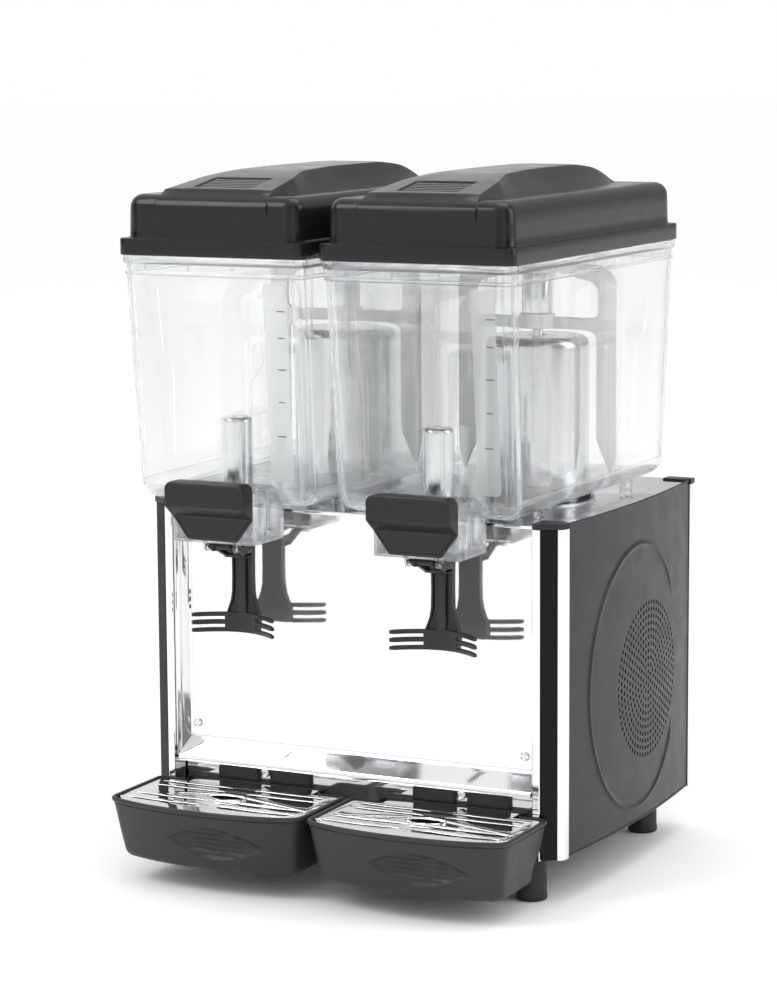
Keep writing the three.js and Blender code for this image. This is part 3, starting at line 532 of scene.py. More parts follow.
def cabinet():
    # corner posts: polished flat strip, groove, and half-round outer strip
    for side, s in (("left", -1), ("right", 1)):
        for end in ("front", "rear"):
            o = [(180.9, 0.5), (181.4, 0), (187.2, 0), (187.9, 0.5), (188.9, 3.4), (200.6, 10.4), (201.3, 8.9)]
            o += [(207.3 - 5.6 * (1 - math.sin(pi / 2 * k / 6)) * 0.95, 8.9 + 11.3 * (1 - math.cos(pi / 2 * k / 6))) for k in range(1, 7)]
            o += [(204.5, 20.9), (201.0, 24.0), (180.9, 24.0)]
            if end == "rear":
                o = [(180.9, 308), (203.6, 308), (203.6, 311.8), (206.9, 311.8), (207.3, 312.2), (207.3, 320.4), (206.8, 321.5), (205.7, 322), (180.9, 322)]
            o = [(s * x, y) for x, y in o]
            bm = bmesh.new()
            add_loft(bm, [[(x, y, z) for x, y in o] for z in (39, 333.4)])
            finish(bm, "vis_post_%s_%s" % (end, side), "mirror_steel", "cabinet", ("post_%s_%s" % (end, side),), angle=24)
            refine("post_cap_%s_%s" % (end, side), "black_satin", "cabinet", bevel=1.1, seg=3)
        refine("post_insert_front_%s" % side, "insert_black", "cabinet", bevel=0.25)

    side_panels()

    # front panel: sheet with folded cheeks and rolled lip
    bm = bmesh.new()
    t = 1.2
    prof = []     # (y, z) outer face from the top down, rolled into the drip lip
    prof += [(18.6, 333.2), (18.6, 116.0)]
    c0, r0 = (14.6, 116.0), 4.0     # fold out
    for k in range(1, 6):
        a = math.radians(0 - 46 * k / 5)
        prof.append((c0[0] + r0 * math.cos(a), c0[1] + r0 * math.sin(a)))
    prof += [(3.4, 99.4)]
    for k in range(0, 9):
        a = math.radians(46 + 180 * k / 8 - 4)
        prof.append((4.0 + 2.0 * math.cos(pi - a + pi / 2 * 0) * 1.0, 96.0 + 2.3 * math.sin(a)))
    prof = prof[:-9]
    prof += [(2.4, 98.3), (2.0, 97.2), (2.0, 94.6), (2.3, 93.9), (3.0, 93.6), (19.4, 93.6), (19.4, 95.0), (3.8, 95.0), (3.4, 95.4), (3.4, 97.0), (4.6, 98.6)]
    prof += [(15.6, 111.6), (18.4, 114.4), (19.8, 117.0), (19.8, 333.2)]
    add_loft(bm, [[(x, y, z) for y, z in prof] for x in (-178, 178)])
    for s in (-1, 1):
        o = [(172.0, 18.6), (173.4, 17.6), (178.6, 3.6), (179.2, 3.0), (180.4, 3.0), (174.4, 18.6), (173.2, 19.8), (171.6, 19.8)]
        add_loft(bm, [[(s * x, y, z) for x, y in o] for z in (98.0, 333.2)])
    finish(bm, "vis_front_panel", "panel_steel", "cabinet", ("front_panel",), angle=30)

    refine("lower_front_panel", "panel_steel", "cabinet", bevel=0.3)
    refine("base_pan", "panel_black", "cabinet", bevel=0.6)
    refine("top_deck", "mirror_steel", "cabinet", bevel=0.8)

    # pan-head screws with a cross recess
    def screw(name, x, y, z, r, node):
        bm = bmesh.new()
        add_lathe(bm, [(0, 0), (r * 0.3, 0)] + arc_prof(r - 0.9, 1.0, 0.9, -90, 0, 4) + [(r, 1.3), (r - 0.3, 1.6), (0, 1.6)], 0, 0, 28)
        top = [v for v in bm.verts]
        for v in top:
            X, Y, Z = v.co
            v.co = (x + X, y + Z + 0.35 * (X * X + Y * Y) / (r * r), z + Y)
        for a in (0.35, 0.35 + pi / 2):
            ux, uz = math.cos(a), math.sin(a)
            w, l = 0.45, r * 0.58
            pts = [(-l, -w), (l, -w), (l, w), (-l, w)]
            rings = [[(x + ux * p - uz * q, y + d, z + uz * p + ux * q) for p, q in pts] for d in (-0.12, 0.25)]
            add_loft(bm, rings)
        return finish(bm, name, "mirror_steel", "cabinet", (node,), angle=30)

    for side, s in (("left", -1), ("right", 1)):
        screw("vis_panel_screw_%s" % side, s * 166.0, 16.3, 127.0, 4.0, "panel_screw_%s" % side)
        screw("vis_tray_screw_%s" % side, s * 100 + 3.5, 17.6, 86.0, 4.6, "tray_screw_%s" % side)
        for end, y in (("front", 15.0), ("rear", 278.0)):
            prof = [(0, 0), (11.6, 0), (13.2, 0.5), (14.0, 1.8), (14.0, 5.0), (13.7, 6.2), (13.5, 7.0), (13.5, 28.0), (13.3, 38.2), (12.9, 38.7), (0, 38.7)]
            lathe("vis_foot_%s_%s" % (end, side), prof, s * 174.0, y, "rubber_black", "cabinet", ("foot_%s_%s" % (end, side),), n=48)
    rear()
    insides()


def side_panels():
    # outline points in (y, z)
    Y0, Y1, Z0, Z1 = 21.6, 311.1, 40.0, 338.0
    gy, gz = 192.0, 169.0
    holes = [(gy, gz)]
    for ring in range(1, 12):
        r = 6.45 * ring
        n = 6 * ring
        for i in range(n):
            a = 2 * pi * (i + 0.5 * (ring % 2)) / n
            holes.append((gy + r * math.cos(a), gz + r * math.sin(a)))
    for side, s in (("left", -1), ("right", 1)):
        bm = bmesh.new()
        # perforated disc as its own well-shaped cells, then the rest of the sheet round it
        from mathutils import geometry
        pts, edges = [], []

        def loop(ps):
            base = len(pts)
            pts.extend(Vector(p) for p in ps)
            for i in range(len(ps)):
                edges.append((base + i, base + (i + 1) % len(ps)))

        n = 40
        border = [(lerp(Y0, Y1, i / n), Z0) for i in range(n)] + [(Y1, lerp(Z0, Z1, i / n)) for i in range(n)]
        border += [(lerp(Y1, Y0, i / n), Z1) for i in range(n)] + [(Y0, lerp(Z1, Z0, i / n)) for i in range(n)]
        loop(border)
        for (y, z) in holes:
            loop([(y + 1.75 * math.cos(2 * pi * k / 8), z + 2.3 * math.sin(2 * pi * k / 8)) for k in range(8)])
        k = 0
        for i in range(1, 40):
            for j in range(1, 43):
                y, z = lerp(Y0, Y1, i / 40), lerp(Z0, Z1, j / 43)
                q = math.hypot((y - 166.0) / 106.0, (z - 176.0) / 122.0)
                if (y - gy) ** 2 + (z - gz) ** 2 > 76.5 ** 2 and abs(q - 1.0) * 112 > 6.5:
                    pts.append(Vector((y, z)))
        for i in range(150):
            a = 2 * pi * (i + 0.5) / 150
            for o in (-5.2, -3.4, -2.2, -1.1, 0.0, 1.1, 2.2, 3.4, 5.2):
                q = 1.0 + o / 112.0
                y, z = 166.0 + 106.0 * q * math.cos(a), 176.0 + 122.0 * q * math.sin(a)
                if Y0 + 3 < y < Y1 - 3 and (y - gy) ** 2 + (z - gz) ** 2 > 79 ** 2:
                    pts.append(Vector((y, z)))
        vo, eo, fo, _, _, _ = geometry.delaunay_2d_cdt(pts, edges, [], 0, 1e-5, False)
        keep = []
        hol = holes
        for f in fo:
            cy = sum(vo[i].x for i in f) / len(f)
            cz = sum(vo[i].y for i in f) / len(f)
            inside = False
            if (cy - gy) ** 2 + (cz - gz) ** 2 < 76 ** 2:
                for (y, z) in hol:
                    if ((cy - y) / 1.7) ** 2 + ((cz - z) / 2.25) ** 2 < 1:
                        inside = True
                        break
            if not inside:
                keep.append(f)

        def place(y, z, d):
            # raised generic outline: a tall oval ring round the vent field, broken near the top
            ry, rz = (y - 166.0) / 106.0, (z - 176.0) / 122.0
            q = math.sqrt(ry * ry + rz * rz)
            ridge = 0.0
            if y < 275:
                ridge = 1.5 * math.exp(-((q - 1.0) * 112 / 1.9) ** 2) * sstep((262 - y) / 14.0)
            x = bow(y) - d
            if d == 0:
                x += ridge - 1.5
            else:
                x += -0.9
            return (s * x, y, z)

        top = [bm.verts.new(place(v.x, v.y, 0)) for v in vo]
        bot = [bm.verts.new(place(v.x, v.y, 1.5)) for v in vo]
        cnt = {}
        for f in keep:
            bm.faces.new([top[i] for i in f])
            bm.faces.new([bot[i] for i in reversed(f)])
            for a, b in zip(f, list(f[1:]) + [f[0]]):
                cnt[(a, b)] = 1
        for (a, b) in list(cnt):
            if (b, a) not in cnt:
                bm.faces.new((top[b], top[a], bot[a], bot[b]))
        used = {v for f in bm.faces for v in f.verts}
        bmesh.ops.delete(bm, geom=[v for v in bm.verts if v not in used], context="VERTS")
        # folded borders top and bottom
        finish(bm, "vis_side_panel_%s" % side, "panel_black", "cabinet", ("side_panel_%s" % side,), angle=40)
        bm = bmesh.new()
        path = [(s * (bow(y) - 1.6), y, 338.0 - 1.0) for y in [lerp(Y0 + 1, Y1 - 1, i / 24) for i in range(25)]]
        add_tube(bm, path, 0.95, 8)
        path = [(s * (bow(y) - 1.6), y, 41.0) for y in [lerp(Y0 + 1, Y1 - 1, i / 24) for i in range(25)]]
        add_tube(bm, path, 0.95, 8)
        finish(bm, "vis_side_fold_%s" % side, "panel_black", "cabinet", (), angle=50)


def rear():
    refine("rear_panel", "panel_black", "cabinet", bevel=0.25)
    bm = bmesh.new()
    for i in range(9):
        z = 86 + i * 18
        prof = [(306.2, z + 1.2), (306.2, z - 0.2)] + [(306.2 + 5.0 * math.sin(pi / 2 * k / 5), z - 0.2 - 5.6 * (1 - math.cos(pi / 2 * k / 5))) for k in range(1, 6)]
        inner = [(y - 1.0, zz - 0.4) for y, zz in reversed(prof[2:])]
        ring = prof + inner + [(305.6, z - 0.4)]
        add_loft(bm, [[(x, y, zz) for y, zz in ring] for x in (-20, 150)])
    finish(bm, "vis_rear_louvres", "panel_black", "cabinet", (), angle=30)
    bm = bmesh.new()
    for x in (-60, -20, 20):
        outer = fillet([(x - 14, 281), (x + 14, 281), (x + 14, 303), (x - 14, 303)], 1.6)
        hole = fillet([(x - 10.3, 284), (x + 10.3, 284), (x + 10.3, 300), (x - 10.3, 300)], 0.8)
        add_plate(bm, outer, [hole], 2.0, 0.5, 2, to=lambda u, v, w: (u, 306.4 + w, v))
    finish(bm, "vis_switch_bezels", "black_satin", "cabinet", (), angle=30)
    bm = bmesh.new()
    for x, z in ((-170, 320), (170, 320), (-170, 56), (170, 56), (0, 326), (0, 50)):
        prof = [(0, 306.4), (4.0, 306.4), (4.0, 307.2)] + [(4.0 * math.cos(a), 307.2 + 1.6 * math.sin(a)) for a in (0.4, 0.8, 1.15)] + [(0, 308.8)]
        b2 = bmesh.new()
        add_lathe(b2, prof, 0, 0, 24)
        for v in b2.verts:
            X, Y, Z = v.co
            v.co = (x + X, Z, z + Y)
        me = bpy.data.meshes.new("t")
        b2.to_mesh(me)
        b2.free()
        bm.from_mesh(me)
        bpy.data.meshes.remove(me)
    finish(bm, "vis_rear_screws", "mirror_steel", "cabinet", (), angle=30)
    for n in ("power_switch", "mixer_switch_left", "mixer_switch_right"):
        refine(n, "black_gloss", n, bevel=0.7, seg=3)
    # fluted knob
    bm = bmesh.new()
    N = 72
    rings = []
    for r, y, fl in ((3.6, 300.0, 0), (3.6, 307.6, 0), (13.6, 307.6, 0), (14.2, 308.2, 0.4), (13.6, 312.0, 0.7), (13.0, 316.6, 0.7), (12.4, 318.0, 0.4), (11.4, 318.5, 0)):
        rings.append([(84 + (r - fl * 0.5 * (1 + math.cos(24 * 2 * pi * i / N))) * math.cos(2 * pi * i / N), y, 292 + (r - fl * 0.5 * (1 + math.cos(24 * 2 * pi * i / N))) * math.sin(2 * pi * i / N)) for i in range(N)])
    add_loft(bm, rings)
    add_box(bm, 83.2, 84.8, 318.0, 319.6, 293.5, 303.0)
    finish(bm, "vis_thermostat_knob", "black_satin", "thermostat_knob", ("thermostat_knob",), angle=40)
    prof = [(4.0, 298), (8.0, 298), (8.0, 306.9), (11.6, 306.9), (12.0, 307.3), (12.0, 310.4), (11.5, 311.0), (8.0, 311.2), (7.2, 315.4), (6.6, 316.0), (4.0, 316.0)]
    lathe("vis_cord_inlet", prof, -140.0, 74.0, "rubber_black", "cabinet", ("cord_inlet",), n=40, closed_profile=True, axis="Y")


def insides():
    refine("condenser", "fin_metal", "cabinet", bevel=0.3)
    refine("fan_motor", "motor_metal", "cabinet", bevel=0.8)
    refine("fan", "black_satin", "fan", bevel=0.6)
    bm = bmesh.new()
    prof = [(0, 50), (40, 50)] + arc_prof(42, 65, 13, -70, 0, 5) + [(56.4, 96), (57.2, 97), (57.2, 101), (56.4, 102)] + arc_prof(32, 146, 24, 0, 70, 8) + [(20, 174), (0, 176)]
    add_lathe(bm, prof, -95, 105, 56)
    add_box(bm, -160, -30, 70, 140, 42.4, 52)
    finish(bm, "vis_compressor", "black_enamel", "cabinet", ("compressor",), angle=32)


# ------------------------------------------------------------------ bowls
BT, BB = (-90.7, 90.7, -63.4, 311.0), (-88.0, 88.0, -44.5, 295.2)


def bowl_at(z):
    t = (z - 345.0) / 221.0
    return [lerp(b, a, t) for a, b in zip(BT, BB)]


def bowl_ring(z, inset, corner=11.0, emb=1.0, nc=8):
    """One horizontal ring of the bowl wall, with the pressed panels on the front and both sides."""
    x0, x1, y0, y1 = bowl_at(z)
    x0 += inset
    x1 -= inset
    y0 += inset
    y1 -= inset
    r = max(corner - inset, 2.5)
    pts = []

    def depth(lo, hi):
        up = sstep((hi - z) / 22.0)
        dn = sstep((z - lo) / 14.0)
        return 1.3 * up * dn * emb

    d = depth(366, 548)
    # front wall, left to right
    xl = piecewise(z, [364, 456, 474, 560], [-59.8, -58.6, -68.6, -64.5])
    xr = piecewise(z, [364, 420, 456, 474, 560], [31.5, 32.4, 33.0, 46.0, 49.5])
    fr = [x0 + r, lerp(x0 + r, xl - 1.2, 0.5), xl - 1.2, xl - 0.1, xl + 1.2]
    dd = [0, 0, 0, d * 0.85, d]
    m = 6
    for k in range(1, m):
        fr.append(lerp(xl + 1.2, xr - 1.2, k / m))
        dd.append(d)
    fr += [xr - 1.2, xr + 0.1, xr + 1.2, lerp(xr + 1.2, x1 - r, 0.5)]
    dd += [d, d * 0.15, 0, 0]
    fr = [min(max(v, x0 + r), x1 - r) for v in fr]
    for x, q in zip(fr, dd):
        pts.append((x, y0 + q, z))
    # front-right corner
    for k in range(nc + 1):
        a = -pi / 2 + pi / 2 * k / nc
        pts.append((x1 - r + r * math.cos(a), y0 + r + r * math.sin(a), z))
    # side outline positions (rear one seen on the outer side)
    ya = piecewise(z, [364, 456, 474, 560], [20.0, 22.0, 4.0, -6.0])
    yb = piecewise(z, [364, 470, 487, 560], [212.0, 221.0, 246.0, 250.0])
    sd = [ya - 1.2, ya, ya + 1.2, lerp(ya, yb, 0.25), lerp(ya, yb, 0.5), lerp(ya, yb, 0.75), yb - 1.2, yb, yb + 1.2]
    sq = [0, d * 0.5, d, d, d, d, d, d * 0.5, 0]
    for y, q in zip(sd, sq):
        pts.append((x1 - q, min(max(y, y0 + r), y1 - r), z))
    for k in range(nc + 1):
        a = pi / 2 * k / nc
        pts.append((x1 - r + r * math.cos(a), y1 - r + r * math.sin(a), z))
    for k in range(1, 4):
        pts.append((lerp(x1 - r, x0 + r, k / 4), y1, z))
    for k in range(nc + 1):
        a = pi / 2 + pi / 2 * k / nc
        pts.append((x0 + r + r * math.cos(a), y1 - r + r * math.sin(a), z))
    for y, q in zip(reversed(sd), reversed(sq)):
        pts.append((x0 + q, min(max(y, y0 + r), y1 - r), z))
    for k in range(nc):
        a = pi + pi / 2 * k / nc
        pts.append((x0 + r + r * math.cos(a), y0 + r + r * math.sin(a), z))
    return pts


def bowls():
    T = 2.5
    for side, ux in UNITS:
        bm = bmesh.new()
        R = 18.0
        rings = []
        zs = [364, 367, 370, 373, 376, 380, 395, 410, 420, 435, 450, 456, 459, 462, 465, 468, 471, 474, 480, 495, 510, 520, 525, 528, 531, 534, 537, 540, 543, 546, 548]
        # outer skin, bottom radius first
        for k in range(0, 9):
            a = pi / 2 * k / 8
            rings.append(bowl_ring(345 + R * (1 - math.cos(a)), R * (1 - math.sin(a)), emb=0))
        for z in zs:
            rings.append(bowl_ring(z, 0))
        # rib, then the flange under the lid
        for z, o in ((548.6, 0), (549.2, -1.3), (550.5, -1.6), (551.8, -1.3), (552.4, 0), (558.4, 0), (559.0, -2.0), (560.0, -2.6), (565.0, -2.6), (566.0, -2.2)):
            rings.append(bowl_ring(z, o, emb=0))
        rings.append(bowl_ring(566.0, T, emb=0))
        for z in reversed(zs):
            rings.append(bowl_ring(z, T))
        r2 = R - T
        for k in range(8, -1, -1):
            a = pi / 2 * k / 8
            rings.append(bowl_ring(347.5 + r2 * (1 - math.cos(a)), T + r2 * (1 - math.sin(a)), emb=0))
        # floor, closed onto the collar round the drum
        n = len(rings[0])
        ang = [math.atan2(p[1] - AXIS_Y, p[0]) for p in rings[0]]
        def circ(r, z):
            return [(r * math.cos(a), AXIS_Y + r * math.sin(a), z) for a in ang]
        rings.append(circ(56.0, 347.5))
        rings.append(circ(51.6, 347.5))
        rings.append(circ(51.1, 347.0))
        rings.append(circ(51.1, 339.0))
        rings.append(circ(51.4, 338.6))
        rings.append(circ(53.7, 338.6))
        rings.append(circ(54.0, 339.0))
        rings.append(circ(54.0, 343.6))
        rings.append(circ(55.4, 345.0))
        add_loft_loop(bm, rings)
        # tap housing: clear nose under the front, seat ring and lugs
        nose = [(-64, 313.2), (-64, 358), (-59, 363), (-30, 363), (-7.5, 352), (-7.5, 313.2), (-9, 312), (-62.5, 312)]
        nose = fillet(nose, 1.0, 3)
        nin = fillet([(-61.6, 314.4), (-61.6, 357), (-58, 360.6), (-31, 361), (-9.9, 350.6), (-9.9, 314.4)], 0.9, 3)
        bm2 = bmesh.new()
        add_loft(bm2, [[(x, y, z) for y, z in nose] for x in (-40.5, 40.5)])
        add_loft(bm2, [[(x, y, z) for y, z in reversed(nin)] for x in (-38.1, 38.1)])
        for s in (-1, 1):
            lug = fillet([(-53, 313), (-53, 306), (-50.4, 302.5), (-45.6, 302.5), (-43, 306), (-43, 313)], 1.6, 3)
            add_plate(bm2, lug, [[(PV[0], PV[1]) for PV in [(-48 + 3.1 * math.cos(2 * pi * k / 20), 307 + 3.1 * math.sin(2 * pi * k / 20)) for k in range(20)]]], 4.0, 0.4, 2,
                      to=lambda u, v, w, s=s: (s * (13 + w), u, v))
            # reinforcing webs at the back of the nose
            web = [(-7.6, 313), (-7.6, 345), (16, 346), (10, 338), (-3, 320)]
            add_loft(bm2, [[(s * x, y, z) for y, z in web] for x in (26, 28.4)])
            for y in (38, 236):
                rr = [(0, 337.4), (5.4, 337.4), (6.0, 338.0), (6.0, 343.6), (7.4, 345.2), (0, 345.2)]
                b3 = bmesh.new()
                add_lathe(b3, rr, s * 72, y, 28)
                me = bpy.data.meshes.new("t")
                b3.to_mesh(me)
                b3.free()
                bm2.from_mesh(me)
                bpy.data.meshes.remove(me)
        me = bpy.data.meshes.new("t")
        bm2.to_mesh(me)
        bm2.free()
        bm.from_mesh(me)
        bpy.data.meshes.remove(me)
        # small ribs on the flange, about 45 mm apart
        def rib(x0, x1, y0, y1):
            add_box(bm, x0, x1, y0, y1, 553.2, 558.0)
        b_ = bowl_at(555.5)
        for x in (-66, -22, 22, 66):
            rib(x - 0.9, x + 0.9, b_[2] - 1.1, b_[2] + 0.2)
        for y in (-20, 25, 70, 115, 160, 205, 250, 290):
            rib(b_[1] - 0.2, b_[1] + 1.1, y - 0.9, y + 0.9)
            rib(b_[0] - 1.1, b_[0] + 0.2, y - 0.9, y + 0.9)
        for f in bm.faces:
            c = f.calc_center_median()
            x0_, x1_, y0_, y1_ = bowl_at(c.z)
            dx, dy = min(c.x - x0_, x1_ - c.x), min(c.y - y0_, y1_ - c.y)
            if c.z > 548.2 or c.z < 363 or (dx < 11.5 and dy < 11.5):
                f.material_index = 1
        for v in bm.verts:
            v.co.x += ux
        ob = finish(bm, "vis_bowl_%s" % side, "clear_plastic", "bowl_%s" % side, ("bowl_%s" % side,), angle=38)
        ob.data.materials.append(M["clear_edge"])


def level_marks():
    """Frosted strip down the front wall with plain level dashes."""
    for side, ux in UNITS:
        bm = bmesh.new()
        x0, x1 = 51.0, 73.0
        rings = []
        for z in (368.0, 372.0, 460.0, 541.0, 545.0):
            y = bowl_at(z)[2]
            e = 2.0 if z in (368.0, 545.0) else 0.0
            rings.append([(x0 + e, y - 0.32, z), (x1 - e, y - 0.32, z), (x1 - e, y - 0.04, z), (x0 + e, y - 0.04, z)])
        add_loft(bm, rings)
        for v in bm.verts:
            v.co.x += ux
        finish(bm, "vis_level_strip_%s" % side, "frost_plastic", "bowl_%s" % side, (), angle=40)
        bm = bmesh.new()
        for x, z in ((68.2, 520.5), (67.1, 497.0), (66.2, 469.0), (64.7, 440.0), (63.1, 409.5)):
            y = bowl_at(z)[2]
            w = 3.0 if z in (497.0, 440.0) else 4.0
            add_box(bm, x - w, x + w, y - 0.62, y - 0.38, z - 0.42, z + 0.42)
        for v in bm.verts:
            v.co.x += ux
        finish(bm, "vis_level_marks_%s" % side, "mark_grey", "bowl_%s" % side, (), angle=40)


# ------------------------------------------------------------------ lids
def lids():
    W, Y0, Y1, R = 87.1, -61.8, 309.5, 14.0
    SH = 620.0
    shr = 12.0

    def outline_half(y):
        if y < Y0 + R:
            q = Y0 + R - y
            return W - R + math.sqrt(max(0.0, R * R - q * q))
        if y > Y1 - R:
            q = y - (Y1 - R)
            return W - R + math.sqrt(max(0.0, R * R - q * q))
        return W

    def inside(x, y):
        """distance in from the outline"""
        dx, dy = W - abs(x), min(y - Y0, Y1 - y)
        if dx < R and dy < R:
            return R - math.hypot(R - dx, R - dy)
        return min(dx, dy)

    FY = [-63.4, -60, -56, -48, 8, 44, 110, 214, 256, 290, 299]
    FF = [56, 56, 56, 56, 58, 60, 60, 60, 56, 48, 40]
    FT = [56, 55.5, 55, 53.5, 46, 36, 30, 30, 32, 36, 36]
    FZ = [606, 613.5, 618.0, 625.0, 634, 638.6, 640, 640, 635.5, 622, 612]

    def smoothz(y):
        acc, ws = 0.0, 0.0
        for k in range(-4, 5):
            w = math.exp(-(k / 2.2) ** 2)
            yy = y + k * (2.4 if y < 20 else 5.5)
            if y > -47:
                yy = max(yy, -47)
            acc += w * piecewise(yy, FY, FZ)
            ws += w
        return acc / ws

    def zhump(x, y):
        zt = smoothz(y) if y > -46 else piecewise(y, FY, FZ)
        th, fh = piecewise(y, FY, FT), piecewise(y, FY, FF)
        ax = abs(x)
        if ax <= th:
            return zt - 0.8 * (ax / max(th, 1)) ** 6
        if ax >= fh:
            return -1e3
        t = (ax - th) / max(fh - th, 0.5)
        low = 613.0
        return low + (zt - 0.8 - low) * (1 - t) ** 1.7

    def zbase(x, y):
        d = max(0.0, inside(x, y))
        if d < shr:
            return SH - shr + math.sqrt(max(0.0, shr * shr - (shr - d) ** 2))
        return SH

    def ztop(x, y):
        a, b = zbase(x, y), zhump(x, y)
        if b < -100:
            return a
        k = 1.6
        h = max(k - abs(a - b), 0.0) / k
        return max(a, b) + h * h * k * 0.25

    rows = [Y0, Y0 + 0.35, Y0 + 1.0, Y0 + 1.8, Y0 + 3.0, Y0 + 4.6, Y0 + 5.8, Y0 + 8.5, Y0 + 11.5, Y0 + 13.4, Y0 + 13.9, Y0 + 17]
    y = Y0 + 19
    slots = []
    for i in range(6):
        a = -36.5 + i * 6.6
        slots.append((a, a + 2.6))
    ys = [a + d for a, _ in slots for d in (-0.35, 0.35, 2.25, 2.95)] + [-40.4, -39.6, 1.2, 2.0]
    rows += sorted(ys)
    rows += [5, 9, 14, 20, 27, 35, 44, 56, 70, 90, 110, 135, 160, 185, 205, 220, 232, 242, 250, 258, 265, 271, 277, 282]
    rows += [289, Y1 - 16, Y1 - 12, Y1 - 9, Y1 - 6.4, Y1 - 4.2, Y1 - 2.4, Y1 - 1.1, Y1 - 0.3, Y1]
    rows = sorted(set(round(r, 3) for r in rows))

    def cols(y):
        w = outline_half(y)
        th, fh = piecewise(y, FY, FT), piecewise(y, FY, FF)
        th = min(th, w - 3.2)
        fh = min(max(fh, th + 0.9), w - 2.0)
        c = [0, 10, 20, 28.6, 29.4]
        if th < 31:
            c = [0, 9, 18, 27.0, 27.8]
        c += [lerp(c[-1], th, 0.5), th - 0.35]
        for k in (0.02, 0.1, 0.22, 0.36, 0.52, 0.7, 0.86, 0.98):
            c.append(lerp(th, fh, k))
        c.append(fh + 0.35)
        rest = w - fh
        for d in (0.8, 0.62, 0.46, 0.33, 0.22, 0.13, 0.06, 0.015, 0.0):
            c.append(w - rest * d if d else w)
        c = sorted(c)
        return c

    for side, ux in UNITS:
        bm = bmesh.new()
        grid = []
        for y in rows:
            c = cols(y)
            line = []
            for sg, cc in ((-1, list(reversed(c))[:-1]), (1, c)):
                for x in cc:
                    X = sg * x
                    z = ztop(X, y)
                    in_band = abs(X) <= 56.4
                    Y = y
                    # vent: shallow recess with slots
                    if -40.0 < y < 1.6 and abs(X) < 29.0:
                        z -= 0.9
                        for a, b in slots:
                            if a < y < b:
                                z -= 2.2
                    if in_band and y < -47:
                        k = 1 - sstep((y - Y0) / 13.0)
                        Y = y - 1.3 * k
                    line.append(bm.verts.new((X, Y, z)))
            grid.append(line)
        nc = len(grid[0])
        for a, b in zip(grid[:-1], grid[1:]):
            for i in range(nc - 1):
                bm.faces.new((a[i], a[i + 1], b[i + 1], b[i]))
        # wall, ledge and rim: follow the boundary loop down
        loop = [v for v in grid[0]] + [g[-1] for g in grid[1:]] + [v for v in reversed(grid[-1][:-1])] + [g[0] for g in reversed(grid[1:-1])]

        WR, YR0, YR1, RR = 92.8, -67.5, 315.2, 9.0     # rim outline

        def ring(off, z, rr):
            out = []
            rim_part = max(0.0, min(1.0, (off - 1.1) / 2.2))
            rc = RR + off - 5.7
            for v in loop:
                x, y = v.co.x, v.co.y
                cx = max(-(W - R), min(W - R, x))
                cy = max(Y0 + R, min(Y1 - R, y))
                d = Vector((x - cx, y - cy))
                if d.length < 1e-6:
                    d = Vector((0, -1))
                L = d.length
                d.normalize()
                # corner centres: move out along the outline normal
                nx, ny = d.x, d.y
                if not (abs(x) > W - R + 0.01 and (y < Y0 + R - 0.01 or y > Y1 - R + 0.01)):
                    L = min(L, R)
                ax, ay = cx + nx * (R + off), cy + ny * (R + off)
                ex = cx / (W - R) * (WR - RR)
                ey = YR0 + RR + (cy - Y0 - R) / (Y1 - Y0 - 2 * R) * (YR1 - YR0 - 2 * RR)
                bx, by = ex + nx * rc, ey + ny * rc
                out.append(bm.verts.new((lerp(ax, bx, rim_part), lerp(ay, by, rim_part), z)))
            return out

        rings = [loop]
        for off, z in ((0.25, 600), (0.5, 590), (0.65, 583.6), (1.0, 582.2), (1.8, 581.5), (4.8, 581.3), (5.5, 580.9), (5.7, 580.0), (5.7, 568.0), (5.5, 566.8), (5.1, 566.4)):
            rings.append(ring(off, z, R))
        for a, b in zip(rings[:-1], rings[1:]):
            n = len(a)
            for i in range(n):
                j = (i + 1) % n
                bm.faces.new((a[i], b[i], b[j], a[j]))
        # inside skin
        inner = []
        for off, z in ((4.1, 566.4), (3.8, 566.8), (3.8, 578.4), (3.4, 579.0), (-2.4, 579.4), (-2.6, 582), (-2.8, 604)):
            inner.append(ring(off, z, R))
        rings2 = [rings[-1]] + inner
        for a, b in zip(rings2[:-1], rings2[1:]):
            n = len(a)
            for i in range(n):
                j = (i + 1) % n
                bm.faces.new((a[i], b[i], b[j], a[j]))
        # underside of the crown, a copy of the top pushed in
        under = []
        for gi, line in enumerate(grid):
            ul = []
            for i, v in enumerate(line):
                x, y, z = v.co
                f = 0.962
                ul.append(bm.verts.new((x * f, AXIS_Y * 0 + 123.85 + (y - 123.85) * 0.984, min(z, 640) - 3.0 if abs(x) < 73 else max(z - 3.0, 604.2))))
            under.append(ul)
        for a, b in zip(under[:-1], under[1:]):
            for i in range(nc - 1):
                bm.faces.new((a[i], b[i], b[i + 1], a[i + 1]))
        lo = [v for v in under[0]] + [g[-1] for g in under[1:]] + [v for v in reversed(under[-1][:-1])] + [g[0] for g in reversed(under[1:-1])]
        a, b = rings2[-1], lo
        for i in range(len(a)):
            j = (i + 1) % len(a)
            bm.faces.new((a[i], b[i], b[j], a[j]))
        for v in bm.verts:
            v.co.x += ux
        finish(bm, "vis_lid_%s" % side, "black_gloss", "lid_%s" % side, ("lid_%s" % side,), angle=34)


